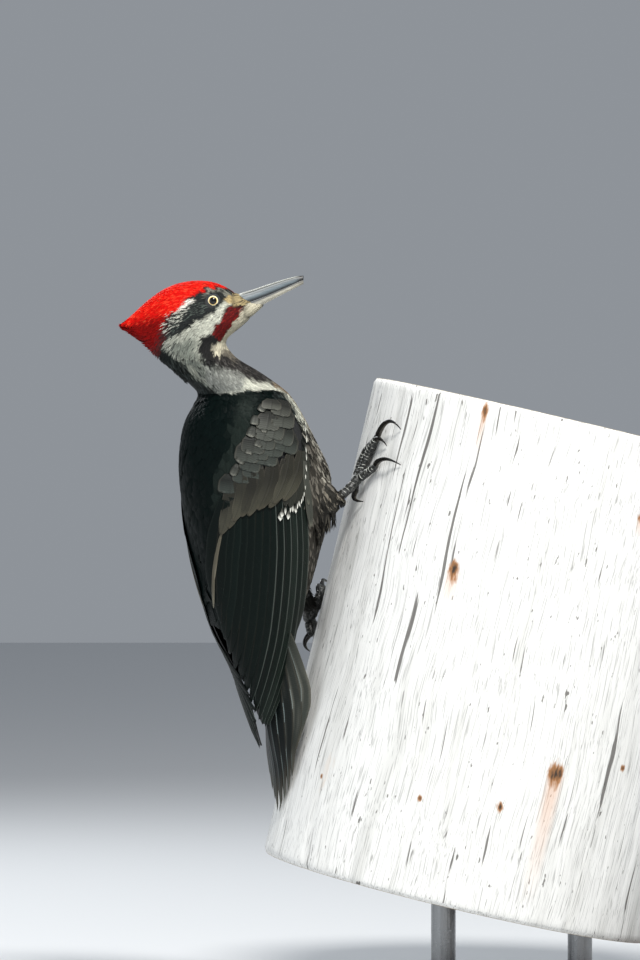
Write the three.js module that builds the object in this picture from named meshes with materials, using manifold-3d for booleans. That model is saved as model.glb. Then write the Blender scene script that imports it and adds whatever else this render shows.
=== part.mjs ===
// A pileated woodpecker at life size, clinging to a cut length of a leaning round timber pole, which two short rods
// hold over a flat display base. Millimetres, +Z up, origin in the middle of the base's underside.
// The bill points along +X and the bird's right side faces -Y. The trunk is turned about Z, so that its belly faces
// the pole and part of its back shows from -Y, while the head is turned back into the XZ plane.
import * as THREE from "three";
import { mergeVertices } from "three/addons/utils/BufferGeometryUtils.js";
import Module from "manifold-3d";

const wasm = await Module();
wasm.setup();

// ---------- driving dimensions ----------
const GAP = 0.6; // clearance cut round a neighbour
const FINENESS = 0.12; // details smaller than this are merged away
const BODY_FINENESS = 0.3; // the same for the flesh
const SLIT = 0.35; // thickness of the cuts that part the body

const POLE_RADIUS = 145;
const POLE_LENGTH = 356;
const POLE_LEAN = THREE.MathUtils.degToRad(13.2);
const POLE_CENTRE = new THREE.Vector3(0, 0, 251);

const BASE_LENGTH = 300;
const BASE_WIDTH = 230;
const BASE_THICKNESS = 18;
const BASE_CORNER = 24;
const BASE_BEVEL = 2;
const ROD_RADIUS = 9;
const ROD_SPACING = 100;

// The trunk's own frame: a vertical axis through the bird, turned about Z. In it +x is the belly, -y the right side.
const BIRD_AXIS = new THREE.Vector2(-186.5, -50);
const BIRD_TURN = THREE.MathUtils.degToRad(28);
const HEAD_Y = -70;

// Neck and trunk, from the top down: height, rearmost and foremost X, half width across, and the section's turn.
const TRUNK = [
  { z: 489, rear: -249, fore: -216, half: 16, turn: 0 },
  { z: 479, rear: -257, fore: -208, half: 19, turn: 2 },
  { z: 470, rear: -253, fore: -200, half: 21.5, turn: 6 },
  { z: 460, rear: -243.5, fore: -183.5, half: 25.5, turn: 13 },
  { z: 450, rear: -232.9, fore: -169.2, half: 31.5, turn: 21 },
  { z: 445, rear: -228.8, fore: -163.4, half: 34.5, turn: 24 },
  { z: 438, rear: -231.5, fore: -158.3, half: 38.5, turn: 27 },
  { z: 424, rear: -238.4, fore: -150.8, half: 43, turn: 28 },
  { z: 408, rear: -241.6, fore: -142, half: 45.5, turn: 28 },
  { z: 390, rear: -242, fore: -133.8, half: 46.5, turn: 28 },
  { z: 372, rear: -240, fore: -131.6, half: 46, turn: 28 },
  { z: 352, rear: -236.2, fore: -134.6, half: 43.5, turn: 28 },
  { z: 331, rear: -231.5, fore: -140.4, half: 40, turn: 28 },
  { z: 310, rear: -225.5, fore: -146.2, half: 35, turn: 28 },
  { z: 291, rear: -218, fore: -153.4, half: 28, turn: 28 },
  { z: 273, rear: -209, fore: -161.3, half: 21, turn: 28 },
  { z: 256, rear: -198, fore: -170, half: 12, turn: 28 },
];

// Head with its crest, from the crest's tip forward: X, top and bottom heights, and half width.
const HEAD = [
  { x: -284.4, top: 494.3, bottom: 492.9, half: 0.6 },
  { x: -280.1, top: 497.4, bottom: 491.4, half: 2.4 },
  { x: -274.3, top: 502.6, bottom: 487.2, half: 4.6 },
  { x: -265.7, top: 510.5, bottom: 480.8, half: 8.6 },
  { x: -254.9, top: 518.4, bottom: 473.5, half: 14 },
  { x: -244.1, top: 523.4, bottom: 469, half: 17.6 },
  { x: -233.3, top: 525.6, bottom: 469.6, half: 19.4 },
  { x: -222.5, top: 525.6, bottom: 474.5, half: 19.6 },
  { x: -215.3, top: 524.2, bottom: 478.6, half: 18.4 },
  { x: -210.2, top: 522.2, bottom: 481.8, half: 16.8 },
  { x: -204.5, top: 519.2, bottom: 486.8, half: 14 },
  { x: -197.3, top: 515.9, bottom: 492.5, half: 10.8 },
  { x: -190.1, top: 513, bottom: 499, half: 7.6 },
  { x: -181.4, top: 510.6, bottom: 507.4, half: 3 },
];
const HEAD_SQUARENESS = 2.25;

// Bill, from its root to the chisel tip: X, heights of the ridge, of the line between the two halves, and of the keel.
const BILL = [
  { x: -205.9, ridge: 513.4, split: 504.7, keel: 498.2, half: 7.8 },
  { x: -197.3, ridge: 516.6, split: 508.3, keel: 501.1, half: 7.4 },
  { x: -188.6, ridge: 518.8, split: 511.2, keel: 505.1, half: 6.3 },
  { x: -180, ridge: 521.3, split: 514.3, keel: 509.4, half: 5.1 },
  { x: -171.4, ridge: 523.8, split: 517.8, keel: 513.9, half: 4.1 },
  { x: -162.7, ridge: 526.1, split: 521.4, keel: 518.4, half: 3.1 },
  { x: -156.2, ridge: 527.4, split: 524, keel: 521.6, half: 2.3 },
  { x: -152.3, ridge: 527.8, split: 525.4, keel: 523.8, half: 1.5 },
];

const EYE_RADIUS = 5.2;
const EYE_X = -217.1;
const EYE_Z = 510.8;
const EYE_SIDE = 13.6; // from the head's middle plane to the eyeball's centre

// Folded wings in the trunk's frame, from shoulder to tip: height, the oval that the wing wraps (middle, half depth,
// half width), and the angles of the wing's upper and lower edges round it, from the middle of the back.
const RIGHT_WING = [
  { z: 443.5, mid: -9, deep: 33, wide: 36, upper: 88, lower: 106, thick: 2.6 },
  { z: 438, mid: -10, deep: 36.5, wide: 39, upper: 74, lower: 122, thick: 4.6 },
  { z: 424, mid: -9, deep: 44, wide: 43.6, upper: 66, lower: 130, thick: 6 },
  { z: 408, mid: -6, deep: 50.6, wide: 46, upper: 58, lower: 121, thick: 6.4 },
  { z: 390, mid: -2, deep: 55.6, wide: 47, upper: 46, lower: 112, thick: 6.6 },
  { z: 372, mid: 0.6, deep: 56, wide: 46.6, upper: 39, lower: 109, thick: 6.4 },
  { z: 352, mid: 1.3, deep: 53, wide: 44.6, upper: 33, lower: 111, thick: 6 },
  { z: 331, mid: 0.8, deep: 47.6, wide: 41.4, upper: 25, lower: 116, thick: 5.4 },
  { z: 310, mid: 0.4, deep: 42, wide: 36.6, upper: 16, lower: 119, thick: 4.6 },
  { z: 292, mid: -0.4, deep: 36, wide: 32, upper: 9, lower: 120, thick: 3.8 },
  { z: 273, mid: -1, deep: 29, wide: 25.6, upper: 8, lower: 124, thick: 3.2 },
  { z: 252, mid: 3, deep: 21.4, wide: 20, upper: 11, lower: 115, thick: 2.8 },
  { z: 230, mid: 7, deep: 13, wide: 13, upper: 13, lower: 101, thick: 2.4 },
  { z: 215, mid: 9, deep: 9.4, wide: 10, upper: 12, lower: 86, thick: 2 },
  { z: 204.5, mid: 9.6, deep: 7.6, wide: 9.6, upper: 34, lower: 62, thick: 1.2 },
];
const WING_FLARE_Z = 280; // under this height the left wing no longer mirrors the right one
const LEFT_WING = [
  ...RIGHT_WING.filter((row) => row.z > WING_FLARE_Z),
  { z: 273, mid: -1, deep: 29, wide: 25.6, upper: 6, lower: 116, thick: 3.2 },
  { z: 252, mid: 1.6, deep: 20.4, wide: 21.6, upper: 2, lower: 90, thick: 2.8 },
  { z: 230, mid: -1.6, deep: 5, wide: 22, upper: 2, lower: 52, thick: 2.4 },
  { z: 216, mid: 0.6, deep: 2.6, wide: 17.4, upper: 2, lower: 56, thick: 2 },
  { z: 201.6, mid: 4.4, deep: 2, wide: 14, upper: 6, lower: 56, thick: 1.6 },
  { z: 188, mid: 9.4, deep: 1.4, wide: 10, upper: 26, lower: 44, thick: 1 },
];

// Tail in the trunk's frame, from its root down: height, depth of its middle, and how far its edges hang to the belly.
const TAIL = [
  { z: 304, middle: 7, droop: 10 },
  { z: 280, middle: 6, droop: 15 },
  { z: 250, middle: 6.6, droop: 19 },
  { z: 224, middle: 8.4, droop: 20 },
  { z: 204, middle: 10.6, droop: 17 },
  { z: 190, middle: 13.4, droop: 11 },
  { z: 172, middle: 17, droop: 5 },
  { z: 142, middle: 19.5, droop: 2 },
];
const TAIL_REACH = 38; // the half width at which the droop is measured
const TAIL_ROOT_Z = 300;
const TAIL_THICKNESS = 1.3;
const TAIL_LAYER = 0.55; // each feather lies this much under its inner neighbour
// Tail feathers from the middle outwards: the tip's height and distance from the middle, and the half width.
const TAIL_FEATHERS = [
  { tipZ: 141.5, tipY: 3, half: 6.2 },
  { tipZ: 150, tipY: 7.6, half: 6.6 },
  { tipZ: 157, tipY: 12.6, half: 6.6 },
  { tipZ: 168, tipY: 17.4, half: 6.4 },
  { tipZ: 187, tipY: 22.4, half: 6 },
];
const POLE_CLEARANCE = 0.6; // between the pole and what presses on it

// Legs. A thigh runs through points x, y, z, radius from the hip to the ankle. The rest is told on the pole: the angle
// round it from its -X side towards -Y, the height along it, the lift off it, and the radius.
const RIGHT_LEG = {
  thigh: [
    [-165, -58, 371, 20],
    [-151, -61, 368.6, 18],
    [-138.6, -63, 367, 13],
    [-127.4, -64.2, 367.6, 6.4],
  ],
  tarsus: [
    [22.7, 88.6, 16.6, 3.6],
    [22.8, 95.4, 11.4, 3.4],
    [22.4, 103.4, 6.6, 4],
  ],
  toes: {
    toe3: [
      [22.4, 107.6, 5.6, 3.2],
      [22.4, 117.9, 4, 3.2],
      [24.2, 128, 3.6, 3],
      [26, 136.4, 3.2, 2.6],
    ],
    toe2: [
      [20, 106.6, 5.4, 2.9],
      [18.8, 114.8, 3.8, 2.8],
      [20.2, 123.8, 3.4, 2.6],
      [23.4, 131, 3, 2.3],
    ],
    toe4: [
      [23.6, 105, 5.6, 3],
      [25.4, 108.6, 4.2, 2.8],
      [27.2, 111.8, 3.6, 2.7],
      [29, 115.4, 3.2, 2.4],
    ],
    toe1: [
      [20.8, 100, 5.6, 2.6],
      [19, 96.4, 3.6, 2.4],
      [19.5, 93, 2.6, 2.1],
    ],
  },
  claws: {
    toe3: { hump: [32.6, 156, 11], tip: [35.6, 144.2, 0.6] },
    toe2: { hump: [29, 138.6, 7], tip: [30.6, 130.4, 0.6] },
    toe4: { hump: [33, 125, 9], tip: [39.3, 119.4, 0.6] },
    toe1: { hump: [20.6, 85.4, 7], tip: [24.3, 87.9, 0.6] },
  },
};
const LEFT_LEG = {
  thigh: [
    [-181, -22, 345, 18],
    [-172.5, -16.5, 331.5, 15.5],
    [-164, -10.4, 316, 10.4],
    [-157, -5.4, 301.6, 5],
  ],
  tarsus: [
    [1.4, 12.2, 14, 3.6],
    [-2, 2.6, 10, 3.4],
    [-4.8, -5.6, 6.4, 4],
  ],
  toes: {
    toe3: [
      [-5.6, -1.2, 5.6, 3.2],
      [-6.6, 6.4, 4, 3.2],
      [-8, 13.6, 3.6, 3],
      [-9.4, 19.6, 3.2, 2.6],
    ],
    toe2: [
      [-3.2, -2, 5.4, 2.9],
      [-1.6, 4.6, 3.9, 2.8],
      [-1, 10.6, 3.4, 2.6],
      [-1.4, 15.6, 3, 2.3],
    ],
    toe4: [
      [-6.4, -6.6, 5.6, 3],
      [-10.6, -9.6, 4.2, 2.8],
      [-14.4, -13.6, 3.6, 2.7],
      [-17, -19, 3.2, 2.4],
    ],
    toe1: [
      [-4.2, -9.8, 5.4, 2.6],
      [-3.6, -13.6, 3.6, 2.4],
      [-3.4, -17, 2.6, 2.1],
    ],
  },
  claws: {
    toe3: { hump: [-11, 28.4, 9], tip: [-14.4, 22.4, 0.6] },
    toe2: { hump: [-2.6, 23.6, 9], tip: [-5.6, 19.4, 0.6] },
    toe4: { hump: [-19.6, -26, 9], tip: [-22.6, -22.6, 0.6] },
    toe1: { hump: [-3, -25.4, 9], tip: [-4.6, -28.4, 0.6] },
  },
};
const CLAW_ROOT_RADIUS = 1.9;
const CLAW_TIP_RADIUS = 0.35;

// ---------- materials ----------
const finish = (color, roughness, metalness = 0) =>
  new THREE.MeshStandardMaterial({ color, roughness, metalness });
const MATERIALS = {
  plumage: finish(0x17191a, 0.6),
  wing: finish(0x1f2120, 0.55),
  crest: finish(0xc4140c, 0.7),
  horn: finish(0x8d8f8c, 0.35),
  paleHorn: finish(0xb7ae93, 0.4),
  eye: finish(0xe8d9a8, 0.1),
  foot: finish(0x4a4c48, 0.6),
  claw: finish(0x1a1a18, 0.3),
  timber: finish(0xd9d6cd, 0.85),
  base: finish(0x2c2a28, 0.4),
  steel: finish(0xb8bab8, 0.3, 1),
};

// ---------- shape helpers ----------
const radians = THREE.MathUtils.degToRad;
const power = (value, exponent) => Math.sign(value) * Math.abs(value) ** exponent;

// A smooth curve through a table's rows: the value of column `name` where column `key` has the value `at`.
function along(rows, key, name, at) {
  const falling = rows[0][key] > rows[1][key];
  let i = rows.findIndex((row) => (falling ? row[key] <= at : row[key] >= at));
  if (i < 0) i = rows.length - 1;
  i = Math.max(1, i);
  const slope = (j) => {
    const a = rows[Math.max(0, j - 1)];
    const b = rows[Math.min(rows.length - 1, j + 1)];
    return (b[name] - a[name]) / (b[key] - a[key]);
  };
  const [p, q] = [rows[i - 1], rows[i]];
  const step = q[key] - p[key];
  const t = THREE.MathUtils.clamp((at - p[key]) / step, 0, 1);
  const [t2, t3] = [t * t, t * t * t];
  return (
    (2 * t3 - 3 * t2 + 1) * p[name] +
    (t3 - 2 * t2 + t) * step * slope(i - 1) +
    (3 * t2 - 2 * t3) * q[name] +
    (t3 - t2) * step * slope(i)
  );
}

// Heights or stations spread evenly over a table, `between` of them in each of its steps.
function stations(rows, key, between) {
  const list = [];
  for (let i = 0; i < rows.length - 1; i++)
    for (let k = 0; k < between; k++)
      list.push(rows[i][key] + ((rows[i + 1][key] - rows[i][key]) * k) / between);
  list.push(rows[rows.length - 1][key]);
  return list;
}

// A closed solid through rings of points that all have the same count, with a fan over each end ring.
function loft(rings) {
  const count = rings[0].length;
  const positions = rings.flat().flatMap((p) => p.toArray());
  const index = [];
  for (let i = 0; i + 1 < rings.length; i++)
    for (let k = 0; k < count; k++) {
      const [a, b] = [i * count + k, i * count + ((k + 1) % count)];
      index.push(a, b, b + count, a, b + count, a + count);
    }
  [0, rings.length - 1].forEach((i) => {
    const middle = new THREE.Vector3();
    rings[i].forEach((p) => middle.addScaledVector(p, 1 / count));
    const m = positions.push(...middle.toArray()) / 3 - 1;
    for (let k = 0; k < count; k++) {
      const [a, b] = [i * count + k, i * count + ((k + 1) % count)];
      index.push(...(i === 0 ? [m, b, a] : [m, a, b]));
    }
  });
  return manifoldOf(new Float32Array(positions), new Uint32Array(index));
}

// A solid from positions and triangles, turned right side out where its volume is negative.
function manifoldOf(vertProperties, triVerts) {
  const made = new wasm.Manifold(new wasm.Mesh({ numProp: 3, vertProperties, triVerts }));
  if (made.volume() >= 0) return made;
  for (let i = 0; i < triVerts.length; i += 3)
    [triVerts[i + 1], triVerts[i + 2]] = [triVerts[i + 2], triVerts[i + 1]];
  return new wasm.Manifold(new wasm.Mesh({ numProp: 3, vertProperties, triVerts }));
}

// A solid from one of three.js's closed geometries.
function fromGeometry(geometry) {
  const bare = geometry.index ? geometry.toNonIndexed() : geometry.clone();
  bare.deleteAttribute("normal");
  bare.deleteAttribute("uv");
  const merged = mergeVertices(bare, 1e-3);
  return manifoldOf(
    new Float32Array(merged.attributes.position.array),
    new Uint32Array(merged.index.array),
  );
}

// The solid's own three.js geometry.
function geometryOf(solid) {
  const mesh = solid.getMesh();
  const geometry = new THREE.BufferGeometry();
  const positions = new Float32Array(mesh.numVert * 3);
  for (let i = 0; i < mesh.numVert; i++)
    for (let k = 0; k < 3; k++)
      positions[i * 3 + k] = mesh.vertProperties[i * mesh.numProp + k];
  geometry.setAttribute("position", new THREE.BufferAttribute(positions, 3));
  geometry.setIndex(new THREE.BufferAttribute(new Uint32Array(mesh.triVerts), 1));
  geometry.computeVertexNormals();
  return geometry;
}

// The solid swollen by `amount` along its vertex normals.
function swell(solid, amount = GAP) {
  const geometry = geometryOf(solid);
  const { position, normal } = geometry.attributes;
  const moved = new Float32Array(position.array);
  moved.forEach((value, i) => (moved[i] = value + normal.array[i] * amount));
  return manifoldOf(moved, new Uint32Array(geometry.index.array));
}

const without = (solid, ...neighbours) =>
  neighbours.reduce((rest, other) => rest.subtract(swell(other)), solid);

// The largest of a solid's separate bodies.
function largest(solid) {
  return solid.decompose().sort((a, b) => b.volume() - a.volume())[0];
}

// A tapered round rod through points [x, y, z, radius], with rounded ends.
function rod(points, sides, between) {
  const path = new THREE.CatmullRomCurve3(points.map(([x, y, z]) => new THREE.Vector3(x, y, z)));
  const radii = new THREE.CatmullRomCurve3(points.map((p) => new THREE.Vector3(p[3], 0, 0)));
  const steps = (points.length - 1) * between;
  const side = new THREE.Vector3(0.3, -1, 0.2).normalize();
  const ring = (t, radius, shift) => {
    const tangent = path.getTangent(t);
    const u = new THREE.Vector3().crossVectors(tangent, side).normalize();
    const v = new THREE.Vector3().crossVectors(tangent, u);
    const middle = path.getPoint(t).addScaledVector(tangent, shift);
    return Array.from({ length: sides }, (_, k) => {
      const angle = (2 * Math.PI * k) / sides;
      return middle
        .clone()
        .addScaledVector(u, Math.cos(angle) * radius)
        .addScaledVector(v, Math.sin(angle) * radius);
    });
  };
  const radius = (t) => radii.getPoint(t).x;
  const rings = [];
  rings.push(ring(0, radius(0) * 0.6, -radius(0) * 0.55));
  for (let i = 0; i <= steps; i++) rings.push(ring(i / steps, radius(i / steps), 0));
  rings.push(ring(1, radius(1) * 0.6, radius(1) * 0.55));
  return loft(rings);
}

// A point of the trunk's frame in the part's frame.
function fromTrunk(x, y, z) {
  const [c, s] = [Math.cos(BIRD_TURN), Math.sin(BIRD_TURN)];
  return new THREE.Vector3(BIRD_AXIS.x + x * c - y * s, BIRD_AXIS.y + x * s + y * c, z);
}

// A point on the pole, from its angle, its height along the pole and its lift off it.
function onPole([angle, height, lift]) {
  const reach = POLE_RADIUS + lift;
  return new THREE.Vector3(-Math.cos(radians(angle)) * reach, -Math.sin(radians(angle)) * reach, height)
    .applyAxisAngle(new THREE.Vector3(0, 1, 0), POLE_LEAN)
    .add(POLE_CENTRE);
}

// How far towards the belly a point of the trunk's frame can go at (y, z) before it meets the pole.
function poleDepth(y, z) {
  const [c, s] = [Math.cos(BIRD_TURN), Math.sin(BIRD_TURN)];
  const start = fromTrunk(0, y, z);
  const reach = POLE_RADIUS + POLE_CLEARANCE;
  const across = -start.x * Math.cos(POLE_LEAN) + (z - POLE_CENTRE.z) * Math.sin(POLE_LEAN);
  const k = c * Math.cos(POLE_LEAN);
  const a = k * k + s * s;
  const b = start.y * s - across * k;
  const d = across * across + start.y * start.y - reach * reach;
  return (-b - Math.sqrt(Math.max(0, b * b - a * d))) / a;
}

// ---------- pole and stand ----------
function makePole() {
  const geometry = new THREE.CylinderGeometry(POLE_RADIUS, POLE_RADIUS, POLE_LENGTH, 80);
  geometry.rotateX(Math.PI / 2);
  geometry.rotateY(POLE_LEAN);
  geometry.translate(...POLE_CENTRE.toArray());
  return fromGeometry(geometry);
}

function makeBase() {
  const [x, y, r] = [BASE_LENGTH / 2 - BASE_BEVEL, BASE_WIDTH / 2 - BASE_BEVEL, BASE_CORNER];
  const outline = new THREE.Shape();
  outline.moveTo(-x + r, -y);
  outline.absarc(x - r, -y + r, r, -Math.PI / 2, 0);
  outline.absarc(x - r, y - r, r, 0, Math.PI / 2);
  outline.absarc(-x + r, y - r, r, Math.PI / 2, Math.PI);
  outline.absarc(-x + r, -y + r, r, Math.PI, 1.5 * Math.PI);
  const geometry = new THREE.ExtrudeGeometry(outline, {
    depth: BASE_THICKNESS - 2 * BASE_BEVEL,
    bevelThickness: BASE_BEVEL,
    bevelSize: BASE_BEVEL,
    bevelSegments: 1,
    curveSegments: 4,
  });
  geometry.translate(0, 0, BASE_BEVEL);
  return fromGeometry(geometry);
}

function makeStandRod(x, pole) {
  const top = POLE_CENTRE.z - POLE_LENGTH / 3;
  const geometry = new THREE.CylinderGeometry(ROD_RADIUS, ROD_RADIUS, top - BASE_THICKNESS - GAP, 24);
  geometry.rotateX(Math.PI / 2);
  geometry.translate(x, 0, (top + BASE_THICKNESS + GAP) / 2);
  return without(fromGeometry(geometry), pole);
}

// ---------- the bird ----------
// Neck and trunk: level oval sections, whose extent along X is the table's and whose axes turn with the neck.
function makeTrunk(sides) {
  const at = (name, z) => along(TRUNK, "z", name, z);
  const rings = stations(TRUNK, "z", 1).map((z) => {
    const [rear, fore, half] = ["rear", "fore", "half"].map((name) => at(name, z));
    const turn = radians(at("turn", z));
    const extent = (fore - rear) / 2;
    const deep = Math.sqrt(extent ** 2 - (half * Math.sin(turn)) ** 2) / Math.cos(turn);
    const x = (rear + fore) / 2;
    const y = Math.max(HEAD_Y, BIRD_AXIS.y + (x - BIRD_AXIS.x) * Math.tan(BIRD_TURN));
    return Array.from({ length: sides }, (_, k) => {
      const angle = (2 * Math.PI * k) / sides;
      const [u, v] = [deep * Math.cos(angle), half * Math.sin(angle)];
      return new THREE.Vector3(
        x + u * Math.cos(turn) - v * Math.sin(turn),
        y + u * Math.sin(turn) + v * Math.cos(turn),
        z,
      );
    });
  });
  return loft(rings);
}

// Head and crest: upright oval sections, square to X.
function makeHead(sides) {
  const rings = stations(HEAD, "x", 1).map((x) => {
    const [top, bottom, half] = ["top", "bottom", "half"].map((name) => along(HEAD, "x", name, x));
    return Array.from({ length: sides }, (_, k) => {
      const angle = (2 * Math.PI * k) / sides;
      return new THREE.Vector3(
        x,
        HEAD_Y + half * power(Math.cos(angle), 2 / HEAD_SQUARENESS),
        (top + bottom) / 2 + ((top - bottom) / 2) * power(Math.sin(angle), 2 / HEAD_SQUARENESS),
      );
    });
  });
  return loft(rings);
}

// One half of the bill: a ridge or keel, rounded flanks, and a flat face on the line between the halves.
function makeBillHalf(outer) {
  const sides = 8;
  const rings = stations(BILL, "x", 2).map((x) => {
    const [edge, split, half] = [outer, "split", "half"].map((name) => along(BILL, "x", name, x));
    const seat = split + Math.sign(edge - split) * (SLIT / 2);
    return Array.from({ length: sides + 1 }, (_, k) => {
      const angle = (Math.PI * k) / sides;
      return new THREE.Vector3(
        x,
        HEAD_Y + half * power(Math.cos(angle), 0.8),
        seat + (edge - seat) * power(Math.sin(angle), 1.15),
      );
    });
  });
  return loft(rings);
}

function makeEye(side) {
  const geometry = new THREE.SphereGeometry(EYE_RADIUS, 12, 8);
  geometry.translate(EYE_X, HEAD_Y + side * EYE_SIDE, EYE_Z);
  return fromGeometry(geometry);
}

// A folded wing: a curved blade wrapped on the trunk's side, lens-shaped across, that runs on past it to the tip.
function makeWing(rows, side) {
  const across = 8;
  const skinLift = 1.7;
  const rings = stations(rows, "z", 1).map((z) => {
    const at = (name) => along(rows, "z", name, z);
    const [mid, deep, wide, upper, lower, thick] = ["mid", "deep", "wide", "upper", "lower", "thick"].map(at);
    const point = (k, depth) => {
      const angle = radians(upper + ((lower - upper) * k) / across);
      const [x, y] = [-Math.cos(angle), Math.sin(angle)];
      const out = skinLift - depth;
      return fromTrunk(mid + (deep + out) * x, side * (wide + out) * y, z);
    };
    const outside = Array.from({ length: across + 1 }, (_, k) => point(k, 0));
    const inside = Array.from({ length: across + 1 }, (_, k) => {
      const lens = (4 * (k / across) * (1 - k / across)) ** 0.4;
      return point(k, Math.min(0.8, thick) + (thick - Math.min(0.8, thick)) * lens);
    });
    return [...outside, ...inside.reverse()];
  });
  return loft(rings);
}

// One tail feather: a thin pointed blade on the tail's drooping surface, which the pole stops.
function makeTailFeather(feather, layer, side) {
  const steps = 6;
  const rootY = 2 + layer * 1.6;
  const rings = [];
  for (let i = 0; i <= steps; i++) {
    const t = i / steps;
    const z = TAIL_ROOT_Z + (feather.tipZ - TAIL_ROOT_Z) * t;
    const y = rootY + (feather.tipY + layer * 1.8 - rootY) * Math.sin((Math.PI / 2) * Math.min(1, t * 1.25)) -
      layer * 1.8 * Math.max(0, t - 0.6) / 0.4;
    const half = Math.max(0.5, feather.half * Math.min(1, 0.5 + 1.6 * t) * Math.min(1, 3.4 * (1 - t)) ** 0.7);
    const surface = (yy, depth) => {
      const droop = along(TAIL, "z", "droop", z) * (Math.abs(yy) / TAIL_REACH) ** 1.5;
      const lie = along(TAIL, "z", "middle", z) + droop + layer * TAIL_LAYER;
      const free = Math.min(lie, poleDepth(yy, z) - TAIL_THICKNESS - (4 - layer) * 0.12);
      return fromTrunk(free + depth, yy, z);
    };
    const offsets = [-1, 0, 1].map((k) => side * (y + half * k));
    rings.push([
      ...offsets.map((yy) => surface(yy, 0)),
      ...offsets.reverse().map((yy) => surface(yy, TAIL_THICKNESS)),
    ]);
  }
  return loft(rings);
}

function makeTail() {
  const feathers = TAIL_FEATHERS.flatMap((feather, layer) =>
    [-1, 1].map((side) => makeTailFeather(feather, layer, side)),
  );
  return feathers.reduce((tail, feather) => tail.add(feather));
}

// A toe or tarsus: a rod through points on the pole.
const limb = (points, sides) => rod(points.map((p) => [...onPole(p).toArray(), p[3]]), sides, 1);

// A claw: a tapered hook from the toe's end over its hump to its tip.
function makeClaw(toe, claw) {
  const [a, b] = toe.slice(-2).map(onPole);
  const root = b.clone().addScaledVector(b.clone().sub(a).normalize(), CLAW_ROOT_RADIUS);
  const path = new THREE.QuadraticBezierCurve3(root, onPole(claw.hump), onPole(claw.tip));
  const points = [0, 0.25, 0.5, 0.75, 1].map((t) => {
    const radius = CLAW_ROOT_RADIUS + (CLAW_TIP_RADIUS - CLAW_ROOT_RADIUS) * t ** 1.3;
    return [...path.getPoint(t).toArray(), radius];
  });
  return rod(points, 6, 1);
}

// ---------- assembly ----------
const group = new THREE.Group();
function place(name, solid, material) {
  const fineness = ["plumage", "crest"].includes(material) ? BODY_FINENESS : FINENESS;
  const mesh = new THREE.Mesh(geometryOf(largest(solid.simplify(fineness))), MATERIALS[material]);
  mesh.name = name;
  group.add(mesh);
  return solid;
}

const pole = place("perch_pole", makePole(), "timber");
place("stand_base", makeBase(), "base");
[-1, 1].forEach((side) =>
  place(`stand_rod_${side < 0 ? "left" : "right"}`, makeStandRod((side * ROD_SPACING) / 2, pole), "steel"),
);

// Each solid is cut free of the whole shapes of those placed before it that it touches.
const whole = { pole };
function fit(name, shape, material, ...neighbours) {
  whole[name] = shape;
  return place(name, largest(without(shape, ...neighbours.map((other) => whole[other]))), material);
}

fit("eye_right", makeEye(-1), "eye");
fit("eye_left", makeEye(1), "eye");
fit("bill_upper", makeBillHalf("ridge"), "horn");
fit("bill_lower", makeBillHalf("keel"), "paleHorn");
fit("wing_right", makeWing(RIGHT_WING, -1), "wing", "pole");
fit("wing_left", makeWing(LEFT_WING, 1), "wing", "pole", "wing_right");
fit("tail", makeTail(), "wing", "pole", "wing_right", "wing_left");
Object.entries({ right: RIGHT_LEG, left: LEFT_LEG }).forEach(([side, leg]) => {
  const above = ["pole", `tarsus_${side}`];
  fit(`tarsus_${side}`, limb(leg.tarsus, 10), "foot", "pole");
  fit(`thigh_${side}`, rod(leg.thigh, 16, 2), "plumage", ...above, `wing_${side}`);
  Object.entries(leg.toes).forEach(([toe, points]) => {
    fit(`${toe}_${side}`, limb(points, 8), "foot", ...above);
    above.push(`${toe}_${side}`);
  });
  Object.entries(leg.claws).forEach(([toe, claw]) => {
    const name = `${toe.replace("toe", "claw")}_${side}`;
    fit(name, makeClaw(leg.toes[toe], claw), "claw", ...above);
    above.push(name);
  });
});

// The flesh is one body, cut free of what it carries and then parted by thin slabs.
const flesh = without(makeTrunk(28).add(makeHead(20)), ...Object.values(whole));
function slab(width, at, tilt) {
  const geometry = new THREE.BoxGeometry(width, 120, SLIT);
  geometry.rotateY(radians(tilt));
  geometry.translate(...at);
  return fromGeometry(geometry);
}
const parted = flesh
  .subtract(slab(110, [-234, HEAD_Y, 478], -9))
  .subtract(slab(60, [-259, HEAD_Y, 500], 106))
  .subtract(slab(160, [-198, HEAD_Y + 10, 444], 10))
  .decompose()
  .filter((body) => body.volume() > 60);
const named = ["trunk", "neck", "head", "crest"]; // from the largest body to the smallest
parted
  .sort((a, b) => b.volume() - a.volume())
  .slice(0, named.length)
  .forEach((body, i) => place(named[i], body, named[i] === "crest" ? "crest" : "plumage"));

export default group;
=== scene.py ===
"""A life-size pileated woodpecker clinging to a cut length of weathered round pole on a plain display stand.

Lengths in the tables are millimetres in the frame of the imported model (+Z up, bill towards +X, the bird's
right side towards -Y) and become metres where a mesh is made. Places read off the bird's right side are
pairs (a, b) on the side plan, whose a runs along +X and b down, SCALE millimetres to the unit."""
import math

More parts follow.
